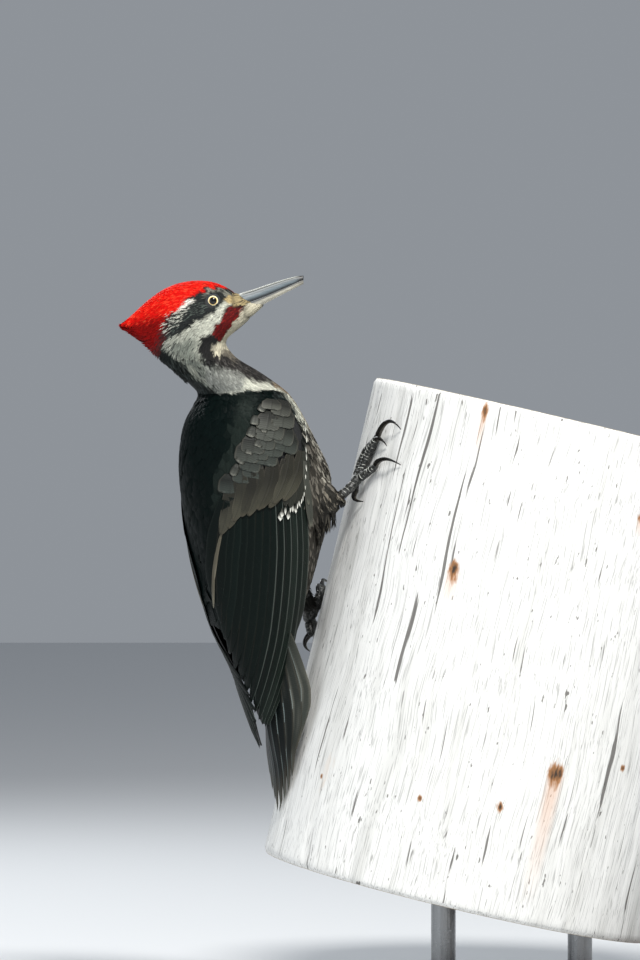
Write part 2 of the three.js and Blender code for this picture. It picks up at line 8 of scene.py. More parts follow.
import bpy
import numpy as np
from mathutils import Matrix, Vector


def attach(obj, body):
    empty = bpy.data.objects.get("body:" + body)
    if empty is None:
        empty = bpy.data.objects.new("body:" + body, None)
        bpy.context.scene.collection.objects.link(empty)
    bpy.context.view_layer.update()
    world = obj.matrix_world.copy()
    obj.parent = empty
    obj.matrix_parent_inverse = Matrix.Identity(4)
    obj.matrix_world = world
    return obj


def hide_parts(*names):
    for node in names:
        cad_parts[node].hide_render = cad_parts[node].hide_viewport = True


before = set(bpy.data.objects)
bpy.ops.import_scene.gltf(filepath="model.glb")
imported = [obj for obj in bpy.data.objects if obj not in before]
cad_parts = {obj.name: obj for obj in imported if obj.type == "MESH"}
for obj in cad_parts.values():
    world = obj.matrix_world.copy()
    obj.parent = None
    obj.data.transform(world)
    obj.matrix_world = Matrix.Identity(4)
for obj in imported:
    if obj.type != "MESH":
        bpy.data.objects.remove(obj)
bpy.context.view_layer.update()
rng = np.random.default_rng(1871)

SCALE = 0.72
PLAN_A, PLAN_B = 515.0, 1011.0  # the side plan's coordinates of X = 0 and Z = 0
PLAN_SIZE = (640, 960)  # the part of the side plan that the camera shows
HEAD_Y = -70.0
TRUNK_AXIS = np.array([-186.5, -50.0])
TRUNK_TURN = math.radians(28)
POLE_RADIUS, POLE_LENGTH, POLE_LEAN = 145.0, 356.0, math.radians(13.2)
POLE_CENTRE = np.array([0.0, 0.0, 251.0])

# Neck and trunk: height, rearmost and foremost X, half width across, turn of the section in degrees.
TRUNK = np.array([
    (489, -249, -216, 16, 0), (479, -257, -208, 19, 2), (470, -253, -200, 21.5, 6),
    (460, -243.5, -183.5, 25.5, 13), (450, -232.9, -169.2, 31.5, 21), (445, -228.8, -163.4, 34.5, 24),
    (438, -231.5, -158.3, 38.5, 27), (424, -238.4, -150.8, 43, 28), (408, -241.6, -142, 45.5, 28),
    (390, -242, -133.8, 46.5, 28), (372, -240, -131.6, 46, 28), (352, -236.2, -134.6, 43.5, 28),
    (331, -231.5, -140.4, 40, 28), (310, -225.5, -146.2, 35, 28), (291, -218, -153.4, 28, 28),
    (273, -209, -161.3, 21, 28), (256, -198, -170, 12, 28)], float)[::-1]
# Head and crest: X, top and bottom heights, half width.
HEAD = np.array([
    (-284.4, 494.3, 492.9, 0.6), (-280.1, 497.4, 491.4, 2.4), (-274.3, 502.6, 487.2, 4.6),
    (-265.7, 510.5, 480.8, 8.6), (-254.9, 518.4, 473.5, 14), (-244.1, 523.4, 469, 17.6),
    (-233.3, 525.6, 469.6, 19.4), (-222.5, 525.6, 474.5, 19.6), (-215.3, 524.2, 478.6, 18.4),
    (-210.2, 522.2, 481.8, 16.8), (-204.5, 519.2, 486.8, 14), (-197.3, 515.9, 492.5, 10.8),
    (-190.1, 513, 499, 7.6), (-181.4, 510.6, 507.4, 3)], float)
HEAD_SQUARENESS = 2.25
# Bill: X, heights of the ridge, the line between its halves and the keel, half width.
BILL = np.array([
    (-205.9, 513.4, 504.7, 498.2, 7.8), (-197.3, 516.8, 508.3, 501.1, 7.4),
    (-188.6, 519.4, 511.2, 505.1, 6.3), (-180, 522.3, 514.5, 509.4, 5.1),
    (-171.4, 525.1, 518.2, 513.9, 4.1), (-162.7, 527.6, 522, 518.4, 3.1), (-156.2, 529, 524.8, 521.6, 2.4),
    (-152.3, 529.4, 526.2, 523.6, 1.7)], float)
EYE = np.array([-217.1, HEAD_Y, 510.8])
EYE_SIDE, EYE_RADIUS = 13.6, 5.2
BACK_BLACK = (3, 12, 11)
THIGHS = {
    "right": np.array([(-165, -58, 371, 20), (-151, -61, 368.6, 18), (-138.6, -63, 367, 13),
                       (-127.4, -64.2, 367.6, 6.4)], float),
    "left": np.array([(-181, -22, 345, 18), (-172.5, -16.5, 331.5, 15.5), (-164, -10.4, 316, 10.4),
                      (-157, -5.4, 301.6, 5)], float),
}
# Folded wing: height, the oval that it wraps (middle, half depth, half width), angles of its upper and lower
# edges.
WING = np.array([
    (443.5, -9, 33, 36, 88, 106), (438, -10, 36.5, 39, 74, 122), (424, -9, 44, 43.6, 66, 130),
    (408, -6, 50.6, 46, 58, 121), (390, -2, 55.6, 47, 46, 112), (372, 0.6, 56, 46.6, 39, 109),
    (352, 1.3, 53, 44.6, 33, 111), (331, 0.8, 47.6, 41.4, 25, 116), (310, 0.4, 42, 36.6, 16, 119),
    (292, -0.4, 36, 32, 9, 120), (273, -1, 29, 25.6, 8, 124), (252, 3, 21.4, 20, 11, 115),
    (230, 7, 13, 13, 13, 101), (215, 9, 9.4, 10, 12, 86), (204.5, 9.6, 7.6, 9.6, 34, 62)], float)[::-1]
WING_FLARE_Z = 280.0
LEFT_WING = np.vstack([np.array([
    (188, 9.4, 1.4, 10, 26, 44), (201.6, 4.4, 2, 14, 6, 56), (216, 0.6, 2.6, 17.4, 2, 56),
    (230, -1.6, 5, 22, 2, 52), (252, 1.6, 20.4, 21.6, 2, 90), (273, -1, 29, 25.6, 6, 116)], float),
    WING[WING[:, 0] > WING_FLARE_Z]])
WING_LIFT = 1.7
EYE_BARE = 5.4  # radius of the eye's ring, which has no feathers
BILL_BARE = (-192, 500, 518)  # no feathers past this X between these heights
WING_COVER = (250, 439)  # lowest and highest Z of the body that a folded wing hides
HEAD_FLOOR, NECK_TOP = 478, 470  # lowest Z of the head's feathers, and where the neck's begin


# ---------- numbers ----------
def along(table, column, at):
    """Hermite curve through a table's rows: column's value where the first column has the value at."""
    x, y = table[:, 0], table[:, column]
    lo, hi = np.r_[0, np.arange(len(x) - 1)], np.r_[np.arange(1, len(x)), len(x) - 1]
    slope = (y[hi] - y[lo]) / (x[hi] - x[lo])
    i = np.clip(np.searchsorted(x, at), 1, len(x) - 1)
    step = x[i] - x[i - 1]
    t = np.clip((at - x[i - 1]) / step, 0, 1)
    return ((2 * t**3 - 3 * t**2 + 1) * y[i - 1] + (t**3 - 2 * t**2 + t) * step * slope[i - 1]
            + (3 * t**2 - 2 * t**3) * y[i] + (t**3 - t**2) * step * slope[i])


def smooth(low, high, at):
    """0 below low, 1 above high, and 3t^2 - 2t^3 between them."""
    t = np.clip((at - low) / (high - low), 0, 1)
    return t * t * (3 - 2 * t)


def bump_at(at, middle, width):
    """e to the power of -((at - middle) / width)^2."""
    return np.exp(-(((at - middle) / width) ** 2))


def unit(v):
    """Each vector over its length."""
    return v / np.maximum(np.linalg.norm(v, axis=-1, keepdims=True), 1e-9)


def turned(x, y, angle):
    """(x, y) in axes turned by an angle in radians."""
    c, s = np.cos(angle), np.sin(angle)
    return x * c + y * s, y * c - x * s


def spokes(first, second, count):
    """Rays (rows, count, 3) all round: first * cos + second * sin of evenly spaced angles."""
    angle = np.linspace(0, 2 * math.pi, count, endpoint=False)
    return first[:, None] * np.cos(angle)[None, :, None] + second[:, None] * np.sin(angle)[None, :, None]


def rounded_end(inner, low):
    """Share of a tube's radius at the share inner of its end's length, a quarter circle; at least the root
    of low."""
    return np.sqrt(np.clip(1 - (1 - np.clip(inner, 0, 1)) ** 2, low, 1))


def ripple(p, size, seed=0):
    """Smooth noise in -1..1: the mean of six sines of p over size, each in its own direction and phase."""
    gen = np.random.default_rng(seed)
    total = 0.0
    for _ in range(6):
        way = gen.normal(size=3)
        way *= gen.uniform(0.6, 1.7) / np.linalg.norm(way)
        total = total + np.sin(p @ way * (2 * math.pi / size) + gen.uniform(0, 6.28))
    return total / 3.2


def linear(*srgb):
    """Scene-linear colour of three 0..255 values."""
    c = np.array(srgb, float) / 255
    return np.where(c <= 0.04045, c / 12.92, ((c + 0.055) / 1.055) ** 2.4)


def shaded(start, goal, share):
    """start + (goal - start) * share, each a linear colour or three 0..255 values."""
    start, goal = (linear(*c) if isinstance(c, tuple) else c for c in (start, goal))
    return start + (goal - start) * share


def blend_lower(a, b, soft):
    """Smooth minimum of two fields, rounded over the distance soft."""
    h = np.clip(0.5 + 0.5 * (b - a) / soft, 0, 1)
    return b + (a - b) * h - soft * h * (1 - h)


# ---------- the body as a field ----------
def trunk_section(z):
    """(middle x, middle y, half depth, half width, turn) of the level oval at each height."""
    rear, fore, half, turn = (along(TRUNK, k, z) for k in (1, 2, 3, 4))
    turn = np.radians(turn)
    x = (rear + fore) / 2
    y = np.maximum(HEAD_Y, TRUNK_AXIS[1] + (x - TRUNK_AXIS[0]) * math.tan(TRUNK_TURN))
    deep = np.sqrt(((fore - rear) / 2) ** 2 - (half * np.sin(turn)) ** 2) / np.cos(turn)
    return x, y, deep, half, turn


def past_end(f, gap):
    """Field f of a row of sections at a gap past its last one: the distance to that section's edge or
    face."""
    return np.where(gap > 0, np.hypot(np.maximum(f, 0), gap) + np.minimum(f, 0) * 0.3, f)


def trunk_field(p):
    """(|p in the section's own axes over its half sizes| - 1) times the smaller half size; past the ends,
    the gap."""
    z = np.clip(p[..., 2], TRUNK[0, 0], TRUNK[-1, 0])
    x, y, deep, half, turn = trunk_section(z)
    u, v = turned(p[..., 0] - x, p[..., 1] - y, turn)
    f = (np.hypot(u / deep, v / half) - 1) * np.minimum(deep, half)
    return past_end(f, np.abs(p[..., 2] - z))


def head_field(p):
    """The same for the head's upright superellipses, square to X."""
    x = np.clip(p[..., 0], HEAD[0, 0], HEAD[-1, 0])
    top, bottom, half = (along(HEAD, k, x) for k in (1, 2, 3))
    n = HEAD_SQUARENESS
    tall = (top - bottom) / 2
    v = np.abs(p[..., 1] - HEAD_Y) / half
    w = np.abs(p[..., 2] - (top + bottom) / 2) / tall
    f = ((v**n + w**n + 1e-12) ** (1 / n) - 1) * np.minimum(half, tall)
    return past_end(f, np.abs(p[..., 0] - x))


def thigh_field(p, side):
    """Distance to a chain of tapered round rods."""
    rows, best = THIGHS[side], None
    for a, b in zip(rows[:-1], rows[1:]):
        way = b[:3] - a[:3]
        t = np.clip(((p - a[:3]) @ way) / (way @ way), 0, 1)
        d = np.linalg.norm(p - a[:3] - t[..., None] * way, axis=-1) - (a[3] + (b[3] - a[3]) * t)
        best = d if best is None else np.minimum(best, d)
    return best


def core_field(p):
    """Smooth union of trunk and head."""
    return blend_lower(trunk_field(p), head_field(p), 7.0)


def body_field(p):
    """Smooth union of trunk, head and thighs: below 0 inside the plumage's outline."""
    f = core_field(p)
    for side in THIGHS:
        f = blend_lower(f, thigh_field(p, side), 8.0)
    return f


def slope_of(field, p):
    """Central-difference gradient of a field."""
    return np.stack([(field(p + step) - field(p - step)) / 0.8 for step in 0.4 * np.eye(3)], -1)


def plan(p):
    """(a, b) on the side plan of the twin that each point has on the bird's right side."""
    z = np.clip(p[..., 2], TRUNK[0, 0], TRUNK[-1, 0])
    x, y, _, _, turn = trunk_section(z)
    u, v = turned(p[..., 0] - x, p[..., 1] - y, turn)
    twin = x + turned(u, -np.abs(v), -turn)[0]
    on_neck = smooth(486, NECK_TOP, p[..., 2])
    right = p[..., 0] + (twin - p[..., 0]) * on_neck
    return np.stack([right / SCALE + PLAN_A, PLAN_B - p[..., 2] / SCALE], -1)


# ---------- markings ----------
def outside(q, corners):
    """Signed distance in plan units from points q to a polygon: below 0 inside it."""
    corners = np.array(corners, float)
    best, inside = np.full(q.shape[:-1], 1e9), np.zeros(q.shape[:-1], bool)
    for a, b in zip(corners, np.roll(corners, -1, 0)):
        way, rel = b - a, q - a
        t = np.clip((rel @ way) / (way @ way), 0, 1)
        best = np.minimum(best, np.linalg.norm(rel - t[..., None] * way, axis=-1))
        crosses = (a[1] > q[..., 1]) != (b[1] > q[..., 1])
        inside ^= crosses & (q[..., 0] < a[0] + (q[..., 1] - a[1]) * way[0] / (way[1] if way[1] else 1e-9))
    return np.where(inside, -best, best)


# Each marking: its colour, how soft its edge is, and its outline on the side plan. Later ones lie on top.
MARKINGS = [
    ("breast", (58, 55, 49), 5, [(222, 343), (240, 356), (262, 371), (283, 386), (303, 406), (326, 450),
     (340, 495), (352, 500), (344, 524), (326, 545), (318, 575), (316, 600), (296, 640), (276, 660),
     (296, 560), (301, 500), (304, 440), (300, 415), (288, 396), (268, 383), (246, 374), (226, 356)]),
    ("breast shade", (34, 32, 30), 5, [(216, 338), (226, 344), (240, 356), (268, 374), (292, 394),
     (284, 396), (268, 383), (252, 379), (234, 377), (218, 371), (209, 366), (212, 352)]),
    ("foreneck", (112, 106, 94), 4, [(220, 342), (227, 345), (237, 354), (231, 358), (222, 354),
     (216, 352)]),
    ("shoulder edge", (104, 88, 68), 2, [(272, 379), (284, 386), (296, 398), (306, 418), (303, 424),
     (292, 404), (282, 392), (270, 384)]),
    ("ear", (30, 33, 33), 2.0, [(232, 292), (228, 304), (221, 307), (213, 312), (205, 318), (190, 325),
     (175, 335), (165, 341), (157, 348), (158, 334), (164, 321), (172, 311), (184, 303), (198, 295),
     (210, 289), (222, 289)]),
    ("brow", (228, 224, 212), 1.2, [(198, 299), (200, 302), (194, 305), (186, 308), (179, 312),
     (176.5, 310.5), (182.5, 304.5), (190, 300.5)]),
    ("lore line", (118, 118, 108), 0.9, [(222, 291), (230, 295), (229, 297), (221, 293.4), (213, 292.2),
     (207, 295), (205.4, 298), (204.6, 294.6), (209, 290.6), (214, 289.6)]),
    ("cheek", (196, 197, 182), 2.0, [(230, 303), (229, 308), (225, 315), (220, 325), (216, 334), (208, 335),
     (203, 340), (200, 351), (202, 361), (208, 368), (216, 374), (224, 376), (236, 377.6), (255, 379.4),
     (268, 381), (273, 385), (283, 391), (293, 402), (302, 419), (303, 428), (300, 424), (291, 406),
     (281, 394.5), (270, 389), (257, 388), (243, 389), (229, 394), (219, 391.5), (205, 385), (193, 375.5),
     (182, 362), (166, 344), (170, 338), (182, 331.5), (192, 326.5), (206, 319), (214, 313.5), (222, 308),
     (226, 304)]),
    ("cheek shade", (112, 117, 108), 9, [(176, 338), (200, 332), (201, 350), (204, 364), (218, 372),
     (236, 388), (206, 384), (192, 372), (178, 356), (168, 345)]),
    ("neck shade", (138, 140, 133), 4, [(203, 366), (220, 367), (237, 371), (243, 379), (236, 391),
     (219, 393), (205, 386)]),
    ("moustache", (20, 20, 20), 1.8, [(204, 337), (213, 334.5), (218, 339), (214, 348), (211.5, 358),
     (209, 368), (203.5, 362), (200, 352), (202, 342)]),
    ("throat", (190, 184, 162), 1.5, [(272, 303), (262, 312), (250, 319), (240, 328), (231, 338),
     (224, 346), (216, 356), (213, 352), (218, 342), (223, 336), (232, 326), (240, 316), (244, 307),
     (254, 303)]),
    ("scapulars", (28, 35, 32), 6.0, [(238, 398), (252, 398), (250, 420), (240, 445), (227, 470),
     (220, 500), (213, 500), (216, 470), (228, 440), (235, 415)]),
    ("malar", (92, 8, 9), 1.3, [(228.2, 309.6), (235.5, 306), (243.4, 305.5), (241.2, 314.5),
     (235.5, 321.2), (228.8, 330), (222.1, 337.5), (217.3, 338.9), (216.3, 332.7), (220.1, 323.2),
     (224, 316.5)]),
    ("nostril tufts", (176, 156, 112), 1.6, [(229, 297), (236, 292.5), (245, 291), (254, 291), (252, 298),
     (243, 302.5), (236, 305.5), (229, 305.5), (226.5, 301.5)]),
    # rim: a pale brown painted highlight along the back's outline
    ("rim", (104, 94, 80), 1.2, [(188, 398), (184, 415), (181, 440), (180, 466), (182, 470), (183.5, 440),
     (186.5, 416), (191, 400)]),
    ("crown", (222, 15, 8), 1.2, [(236, 292), (240, 286), (228, 278), (210, 272), (190, 270), (165, 278),
     (140, 294), (118, 310), (100, 325), (120, 334), (138, 347), (149, 350), (155, 345), (161, 335),
     (166.5, 322), (174, 312.5), (183, 305), (190, 299.5), (197.5, 294.8), (206, 289.6), (213, 287.6),
     (222, 288), (230, 292)]),
    ("crest shade", (122, 4, 3), 6, [(126, 326), (142, 316), (158, 312), (170, 318), (164, 336), (157, 350),
     (150, 354), (136, 350), (120, 336)]),
]


OUTLINES = {name: corners for name, _, _, corners in MARKINGS}


def markings(p, rough=2.2):
    """Linear colour at points p: black, then each marking by the soft step of its polygon's distance, which
    small ripples shift so that the edges are ragged."""
    q = plan(p)
    q = q + rough * np.stack([ripple(p, 6.0, 3), ripple(p, 6.0, 4)], -1)
    tint = np.broadcast_to(linear(*BACK_BLACK), p.shape)
    for _, colour, soft, corners in MARKINGS:
        tint = shaded(tint, colour, smooth(soft, -soft, outside(q, corners))[..., None])
    return tint, q


# ---------- how the feathers lie ----------
# On the side plan: place, way the feathers point, length, width and depth of the coat.
LIE = np.array([
    (236, 290, -1, -0.25, 5, 1.5, 1.0), (215, 284, -1, -0.02, 9, 1.8, 1.8),
    (190, 283, -1, 0.14, 13, 2.1, 2.4), (160, 296, -1, 0.5, 17, 2.4, 2.6),
    (138, 318, -1, 0.42, 15, 2.3, 2.2), (146, 340, -1, 0.05, 12, 2.2, 2.2),
    (124, 325, -1, 0.1, 7, 2.0, 1.2), (229, 299, -1, 0.1, 3.2, 1.1, 0.8),
    (214, 291, -1, 0.0, 3.4, 1.1, 0.9), (213, 311, -1, 0.3, 3.6, 1.2, 0.9),
    (203, 301, -1, 0.25, 4.6, 1.3, 1.1), (186, 315, -1, 0.45, 8, 1.7, 1.6),
    (165, 338, -0.8, 0.7, 10, 2.2, 2.2), (212, 325, -1, 0.5, 6, 1.6, 1.3),
    (232, 317, -0.8, 0.6, 5, 1.5, 1.1), (252, 306, -0.9, 0.4, 4, 1.4, 0.9),
    (230, 333, -0.75, 0.75, 5.5, 1.7, 1.3), (196, 340, -0.5, 0.9, 8, 2.2, 1.8),
    (165, 360, 0.35, 1, 10, 2.6, 2.0), (185, 365, 0.4, 1, 9, 2.3, 2.0), (205, 365, 0.5, 0.95, 7, 2.0, 1.7),
    (238, 366, 0.85, 0.7, 6, 1.8, 1.4), (248, 363, 0.85, 0.6, 7, 2.0, 1.2),
    (268, 376, 0.8, 0.65, 8, 2.2, 1.2), (290, 393, 0.6, 0.9, 9, 2.4, 1.4),
    (230, 382, 0.7, 0.6, 7, 2.1, 1.8), (262, 384, 0.85, 0.5, 7, 2.1, 1.8),
    (200, 392, 0.15, 1, 12, 5.0, 2.2), (282, 398, 0.5, 0.9, 9, 3.0, 1.8), (225, 412, 0.1, 1, 18, 8.0, 1.5),
    (232, 440, 0.1, 1, 18, 9.0, 1.5), (312, 440, 0.25, 1, 12, 4.6, 3.4), (330, 480, 0.1, 1, 13, 5.0, 3.6),
    (322, 540, -0.12, 1, 14, 5.0, 3.8), (308, 600, -0.25, 1, 14, 5.0, 3.4),
    (288, 650, -0.2, 1, 14, 5.0, 3.0), (190, 440, 0.0, 1, 18, 9.0, 1.5), (190, 510, 0.1, 1, 20, 10.0, 1.5),
    (205, 575, 0.2, 1, 22, 10.0, 1.5), (222, 640, 0.25, 1, 24, 9.0, 1.6), (250, 700, 0.2, 1, 22, 8.0, 1.8),
    (346, 500, 0.7, -0.2, 7, 2.6, 1.6)], float)


def lie(p):
    """Way, length, width and depth at points p: the table's rows weighted by 1 / (distance^2 + 16)^2 on the
    plan."""
    q = plan(p)
    d = ((q[..., None, :] - LIE[:, :2]) ** 2).sum(-1) + 16.0
    w = 1 / d**2
    w /= w.sum(-1, keepdims=True)
    mixed = w @ LIE[:, 2:]
    way = np.stack([mixed[..., 0], np.zeros(p.shape[:-1]), -mixed[..., 1]], -1)
    return way, mixed[..., 2], mixed[..., 3], mixed[..., 4]


# ---------- meshes ----------
def mesh_piece(name, verts, faces, finish, node=None, slot=None, uv=None, normals=None, **attributes):
    """A piece from vertices in mm and faces: arrays of equal-sided polygons, one array for each number of
    sides."""
    faces = faces if isinstance(faces, list) else [faces]
    mesh = bpy.data.meshes.new(name)
    corners = np.concatenate([f.ravel() for f in faces]).astype(np.int32)
    counts = np.concatenate([np.full(len(f), f.shape[1]) for f in faces])
    mesh.vertices.add(len(verts))
    mesh.vertices.foreach_set("co", (verts * 0.001).astype(np.float32).ravel())
    mesh.loops.add(len(corners))
    mesh.loops.foreach_set("vertex_index", corners)
    mesh.polygons.add(len(counts))
    mesh.polygons.foreach_set("loop_start", np.r_[0, np.cumsum(counts)[:-1]].astype(np.int32))
    mesh.polygons.foreach_set("use_smooth", np.full(len(counts), True))
    mesh.update(calc_edges=True)
    if normals is not None:
        mesh.normals_split_custom_set_from_vertices(normals.astype(np.float32))
    if uv is not None:
        layer = mesh.uv_layers.new(name="OFBake")
        layer.data.foreach_set("uv", uv[corners].astype(np.float32).ravel())
    for key, value in attributes.items():
        if key == "tint":
            layer = mesh.color_attributes.new(name=key, type="FLOAT_COLOR", domain="POINT")
            layer.data.foreach_set("color", np.c_[value, np.ones(len(value))].astype(np.float32).ravel())
        else:
            layer = mesh.attributes.new(name=key, type="FLOAT_VECTOR", domain="POINT")
            layer.data.foreach_set("vector", value.astype(np.float32).ravel())
    piece = bpy.data.objects.new(name, mesh)
    bpy.context.scene.collection.objects.link(piece)
    mesh.materials.append(finish)
    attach(piece, "root")
    if node:
        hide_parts(*([node] if isinstance(node, str) else node))
    return piece


def ring_faces(rings, count, start=0):
    """Quads between neighbouring rings of count points each."""
    i, k = np.meshgrid(np.arange(rings - 1), np.arange(count), indexing="ij")
    a, b = i * count + k, i * count + (k + 1) % count
    return np.stack([a, b, b + count, a + count], -1).reshape(-1, 4) + start


def shut(values):
    """Rows of a grid (R, C, 3), and then the means of its first and last ring."""
    return np.vstack([values.reshape(-1, 3), values[0].mean(0), values[-1].mean(0)])


def joined_grids(grids):
    """One mesh of several closed grids (R, C, 3), each shut by fans to the middles of its end rings."""
    quads, tris, at = [], [], 0
    for r, c, _ in (grid.shape for grid in grids):
        k, end = np.arange(c), at + (r - 1) * c
        quads.append(ring_faces(r, c, at))
        tris += [np.stack([np.full(c, at + r * c), at + (k + 1) % c, at + k], -1),
                 np.stack([np.full(c, at + r * c + 1), end + k, end + (k + 1) % c], -1)]
        at += r * c + 2
    return np.vstack([shut(grid) for grid in grids]), [np.vstack(quads), np.vstack(tris)]


def flipped(faces):
    """The same faces seen from their other side."""
    return [f[:, ::-1] for f in faces]


def loft_piece(name, rings, finish, flip=False, tint=None, vane=None, **kw):
    """A closed piece through rings (R, C, 3)."""
    verts, faces = joined_grids([rings])
    attributes = {key: shut(v) for key, v in (("tint", tint), ("vane", vane)) if v is not None}
    return mesh_piece(name, verts, flipped(faces) if flip else faces, finish, **attributes, **kw)


# Cross-sections of a vane: across -1..1 and height in thicknesses, from the left edge over the top, ending
# below.
SECTION_FINE = np.array([(-1, 0), (0, 1), (1, 0)], float)
SECTION_WIDE = np.array([(-1, 0), (-0.5, 0.7), (0, 1.25), (0.5, 0.7), (1, 0), (0, -0.15)], float)
SECTION_BLADE = np.array([(-1, 0), (-0.95, 0.3), (-0.66, 0.5), (-0.33, 0.7), (-0.07, 0.8), (0, 1.25),
                          (0.07, 0.8), (0.33, 0.7), (0.66, 0.5), (0.95, 0.3), (1, 0), (0, -0.4)], float)
# Outlines of a vane: share of the length and of the half width. The blade's is a formula, as it has many
# rows.
OUTLINE = {
    "round": np.array([(0, 0.35), (0.3, 0.85), (0.6, 1), (0.8, 0.92), (0.93, 0.62)]),
    "lance": np.array([(0, 0.5), (0.35, 1), (0.7, 0.72), (0.9, 0.36)]),
    "broad": np.array([(0, 0.5), (0.35, 0.95), (0.68, 1), (0.85, 0.98), (0.94, 0.86), (0.985, 0.62)]),
    "dart": np.array([(0, 0.3), (0.35, 0.8), (0.62, 1), (0.8, 0.66), (0.92, 0.28)]),
    "blade": np.array([(0, 0.5)] + [(s, min(1, 0.55 + 1.5 * s) * min(1, 3.2 * (1 - s)) ** 0.5)
                                    for s in np.linspace(0.03, 0.985, 22)]),
}
TURNED_SHARE = 0.08  # a vane is left out when more of it than this lies turned over


def tuft_faces(n, rings, count):
    """Faces of n closed vanes: quads between rings, a fan to the tip's point and a fan over the root."""
    size = rings * count + 1
    k = np.arange(count)
    last = (rings - 1) * count
    tip = np.stack([last + (k + 1) % count, last + k, np.full(count, size - 1)], -1)
    root = np.stack([np.zeros(count - 2, int), k[1:-1], k[2:]], -1)
    quads, tris = ring_faces(rings, count)[:, ::-1], np.vstack([tip, root])
    shift = (np.arange(n) * size)[:, None, None]
    return [(quads + shift).reshape(-1, 4), (tris + shift).reshape(-1, 3)]


def per_point(outline, section):
    """(share of the length, place across -1..1) at each point of a vane, its tip the last."""
    share = np.r_[np.repeat(outline[:, 0], len(section)), 1.0]
    return share, np.r_[np.tile(section[:, 0], len(outline)), 0.0]


def vanes(root, way, normal, length, width, depth, thick, section, outline, stiff, field):
    """Points and shading (n, rings * count + 1, 3) of closed vanes. A vane runs length along way and outline
    * width across it. Its points move along the field's slope to the height depth * (s^0.7 - 1) + thickness
    over the field's zero, where s is the share of the length, and then apart until its upper side lies over
    its lower one. Stiff ones keep that share of their straight line. The shading is the field's slope, bent
    a little across and along the vane, so that the coat is lit as one soft surface."""
    s, o = outline[:, 0], outline[:, 1]
    across = np.cross(normal, way)
    n, r, c = len(root), len(s), len(section)
    w = section[:, 0][None, None] * o[None, :, None]
    frayed = s[None, :, None] + 0.05 * rng.normal(size=(n, 1, c)) * (s[None, :, None] > 0.6)
    run = length[:, None, None] * frayed
    base = (root[:, None, None] + way[:, None, None] * run[..., None]
            + across[:, None, None] * (w * width[:, None, None] / 2)[..., None])
    lift = depth[:, None, None] * (np.clip(frayed, 0.001, 1) ** 0.7 - 1)
    lift = lift + thick[:, None, None] * section[:, 1][None, None] * (0.4 + 0.6 * o)[None, :, None]
    tip = root + way * length[:, None] * 1.06
    points = np.concatenate([base.reshape(n, r * c, 3), tip[:, None]], 1)
    wanted = np.concatenate([lift.reshape(n, r * c), np.zeros((n, 1))], 1)
    held = stiff[:, None, None]
    for _ in range(2):
        g = slope_of(field, points)
        g2 = np.maximum((g * g).sum(-1, keepdims=True), 0.05)
        move = g / g2 * (wanted - field(points))[..., None]
        far = np.linalg.norm(move, axis=-1, keepdims=True)
        move *= np.minimum(1, 0.6 * length[:, None, None] / np.maximum(far, 1e-6))
        points = points + move * (1 - held)
    points = points + (normal[:, None] * (wanted + depth[:, None])[..., None]) * held
    share, side = per_point(outline, section)
    facing = unit(slope_of(field, points)) * (1 - held) + normal[:, None] * held
    left, right = section[:, 0].argmin(), section[:, 0].argmax()
    grid, up = points[:, :-1].reshape(n, r, c, 3), unit(facing[:, :-1]).reshape(n, r, c, 3)
    start, end = grid[:, :, left:left + 1], grid[:, :, right:right + 1]
    rise = ((grid - start - (end - start) * (section[:, :1] + 1) / 2) * up).sum(-1)
    short = 0.5 * thick[:, None, None] * section[:, 1] - rise
    short = np.maximum(short, 0) * (section[:, 1] > 0) + np.minimum(short, 0) * (section[:, 1] < 0)
    points[:, :-1] += (up * short[..., None]).reshape(n, r * c, 3)
    facing = facing + across[:, None] * (0.22 * side)[:, None] + way[:, None] * (0.16 * share)[:, None]
    return points, unit(facing + 0.07 * rng.normal(size=(n, 1, 3)))


def turned_over(points, facing, rows, section):
    """Share of each vane's upper side, by area, that faces against its shading."""
    columns, upper = len(section), int((section[:, 1] >= 0).sum())
    top, face = (v[:, :rows * columns].reshape(len(v), rows, columns, 3)[:, :, :upper]
                 for v in (points, facing))
    corner = top[:, :-1, :-1]
    cell = np.cross(top[:, 1:, :-1] - corner, top[:, :-1, 1:] - corner)
    area = np.linalg.norm(cell, axis=-1)
    return (area * ((cell * face[:, :-1, :-1]).sum(-1) < 0.1 * area)).sum((1, 2)) / area.sum((1, 2))


def vane_piece(name, points, colour, uv, run, outline, section, finish, flip=False, **kw):
    """A piece of closed vanes (n, points, 3). The vane attribute holds the place across, the run in mm along
    the vane and a random number."""
    n, size = points.shape[:2]
    number = np.broadcast_to(rng.uniform(size=(n, 1)), (n, size))
    vane = np.stack([np.broadcast_to(per_point(outline, section)[1], (n, size)), run, number], -1)
    faces = tuft_faces(n, len(outline), len(section))
    return mesh_piece(name, points.reshape(-1, 3), flipped(faces) if flip else faces, finish,
                      uv=np.clip(uv, 0, 1).reshape(-1, 2), tint=np.clip(colour, 0, 1).reshape(-1, 3),
                      vane=vane.reshape(-1, 3), **kw)


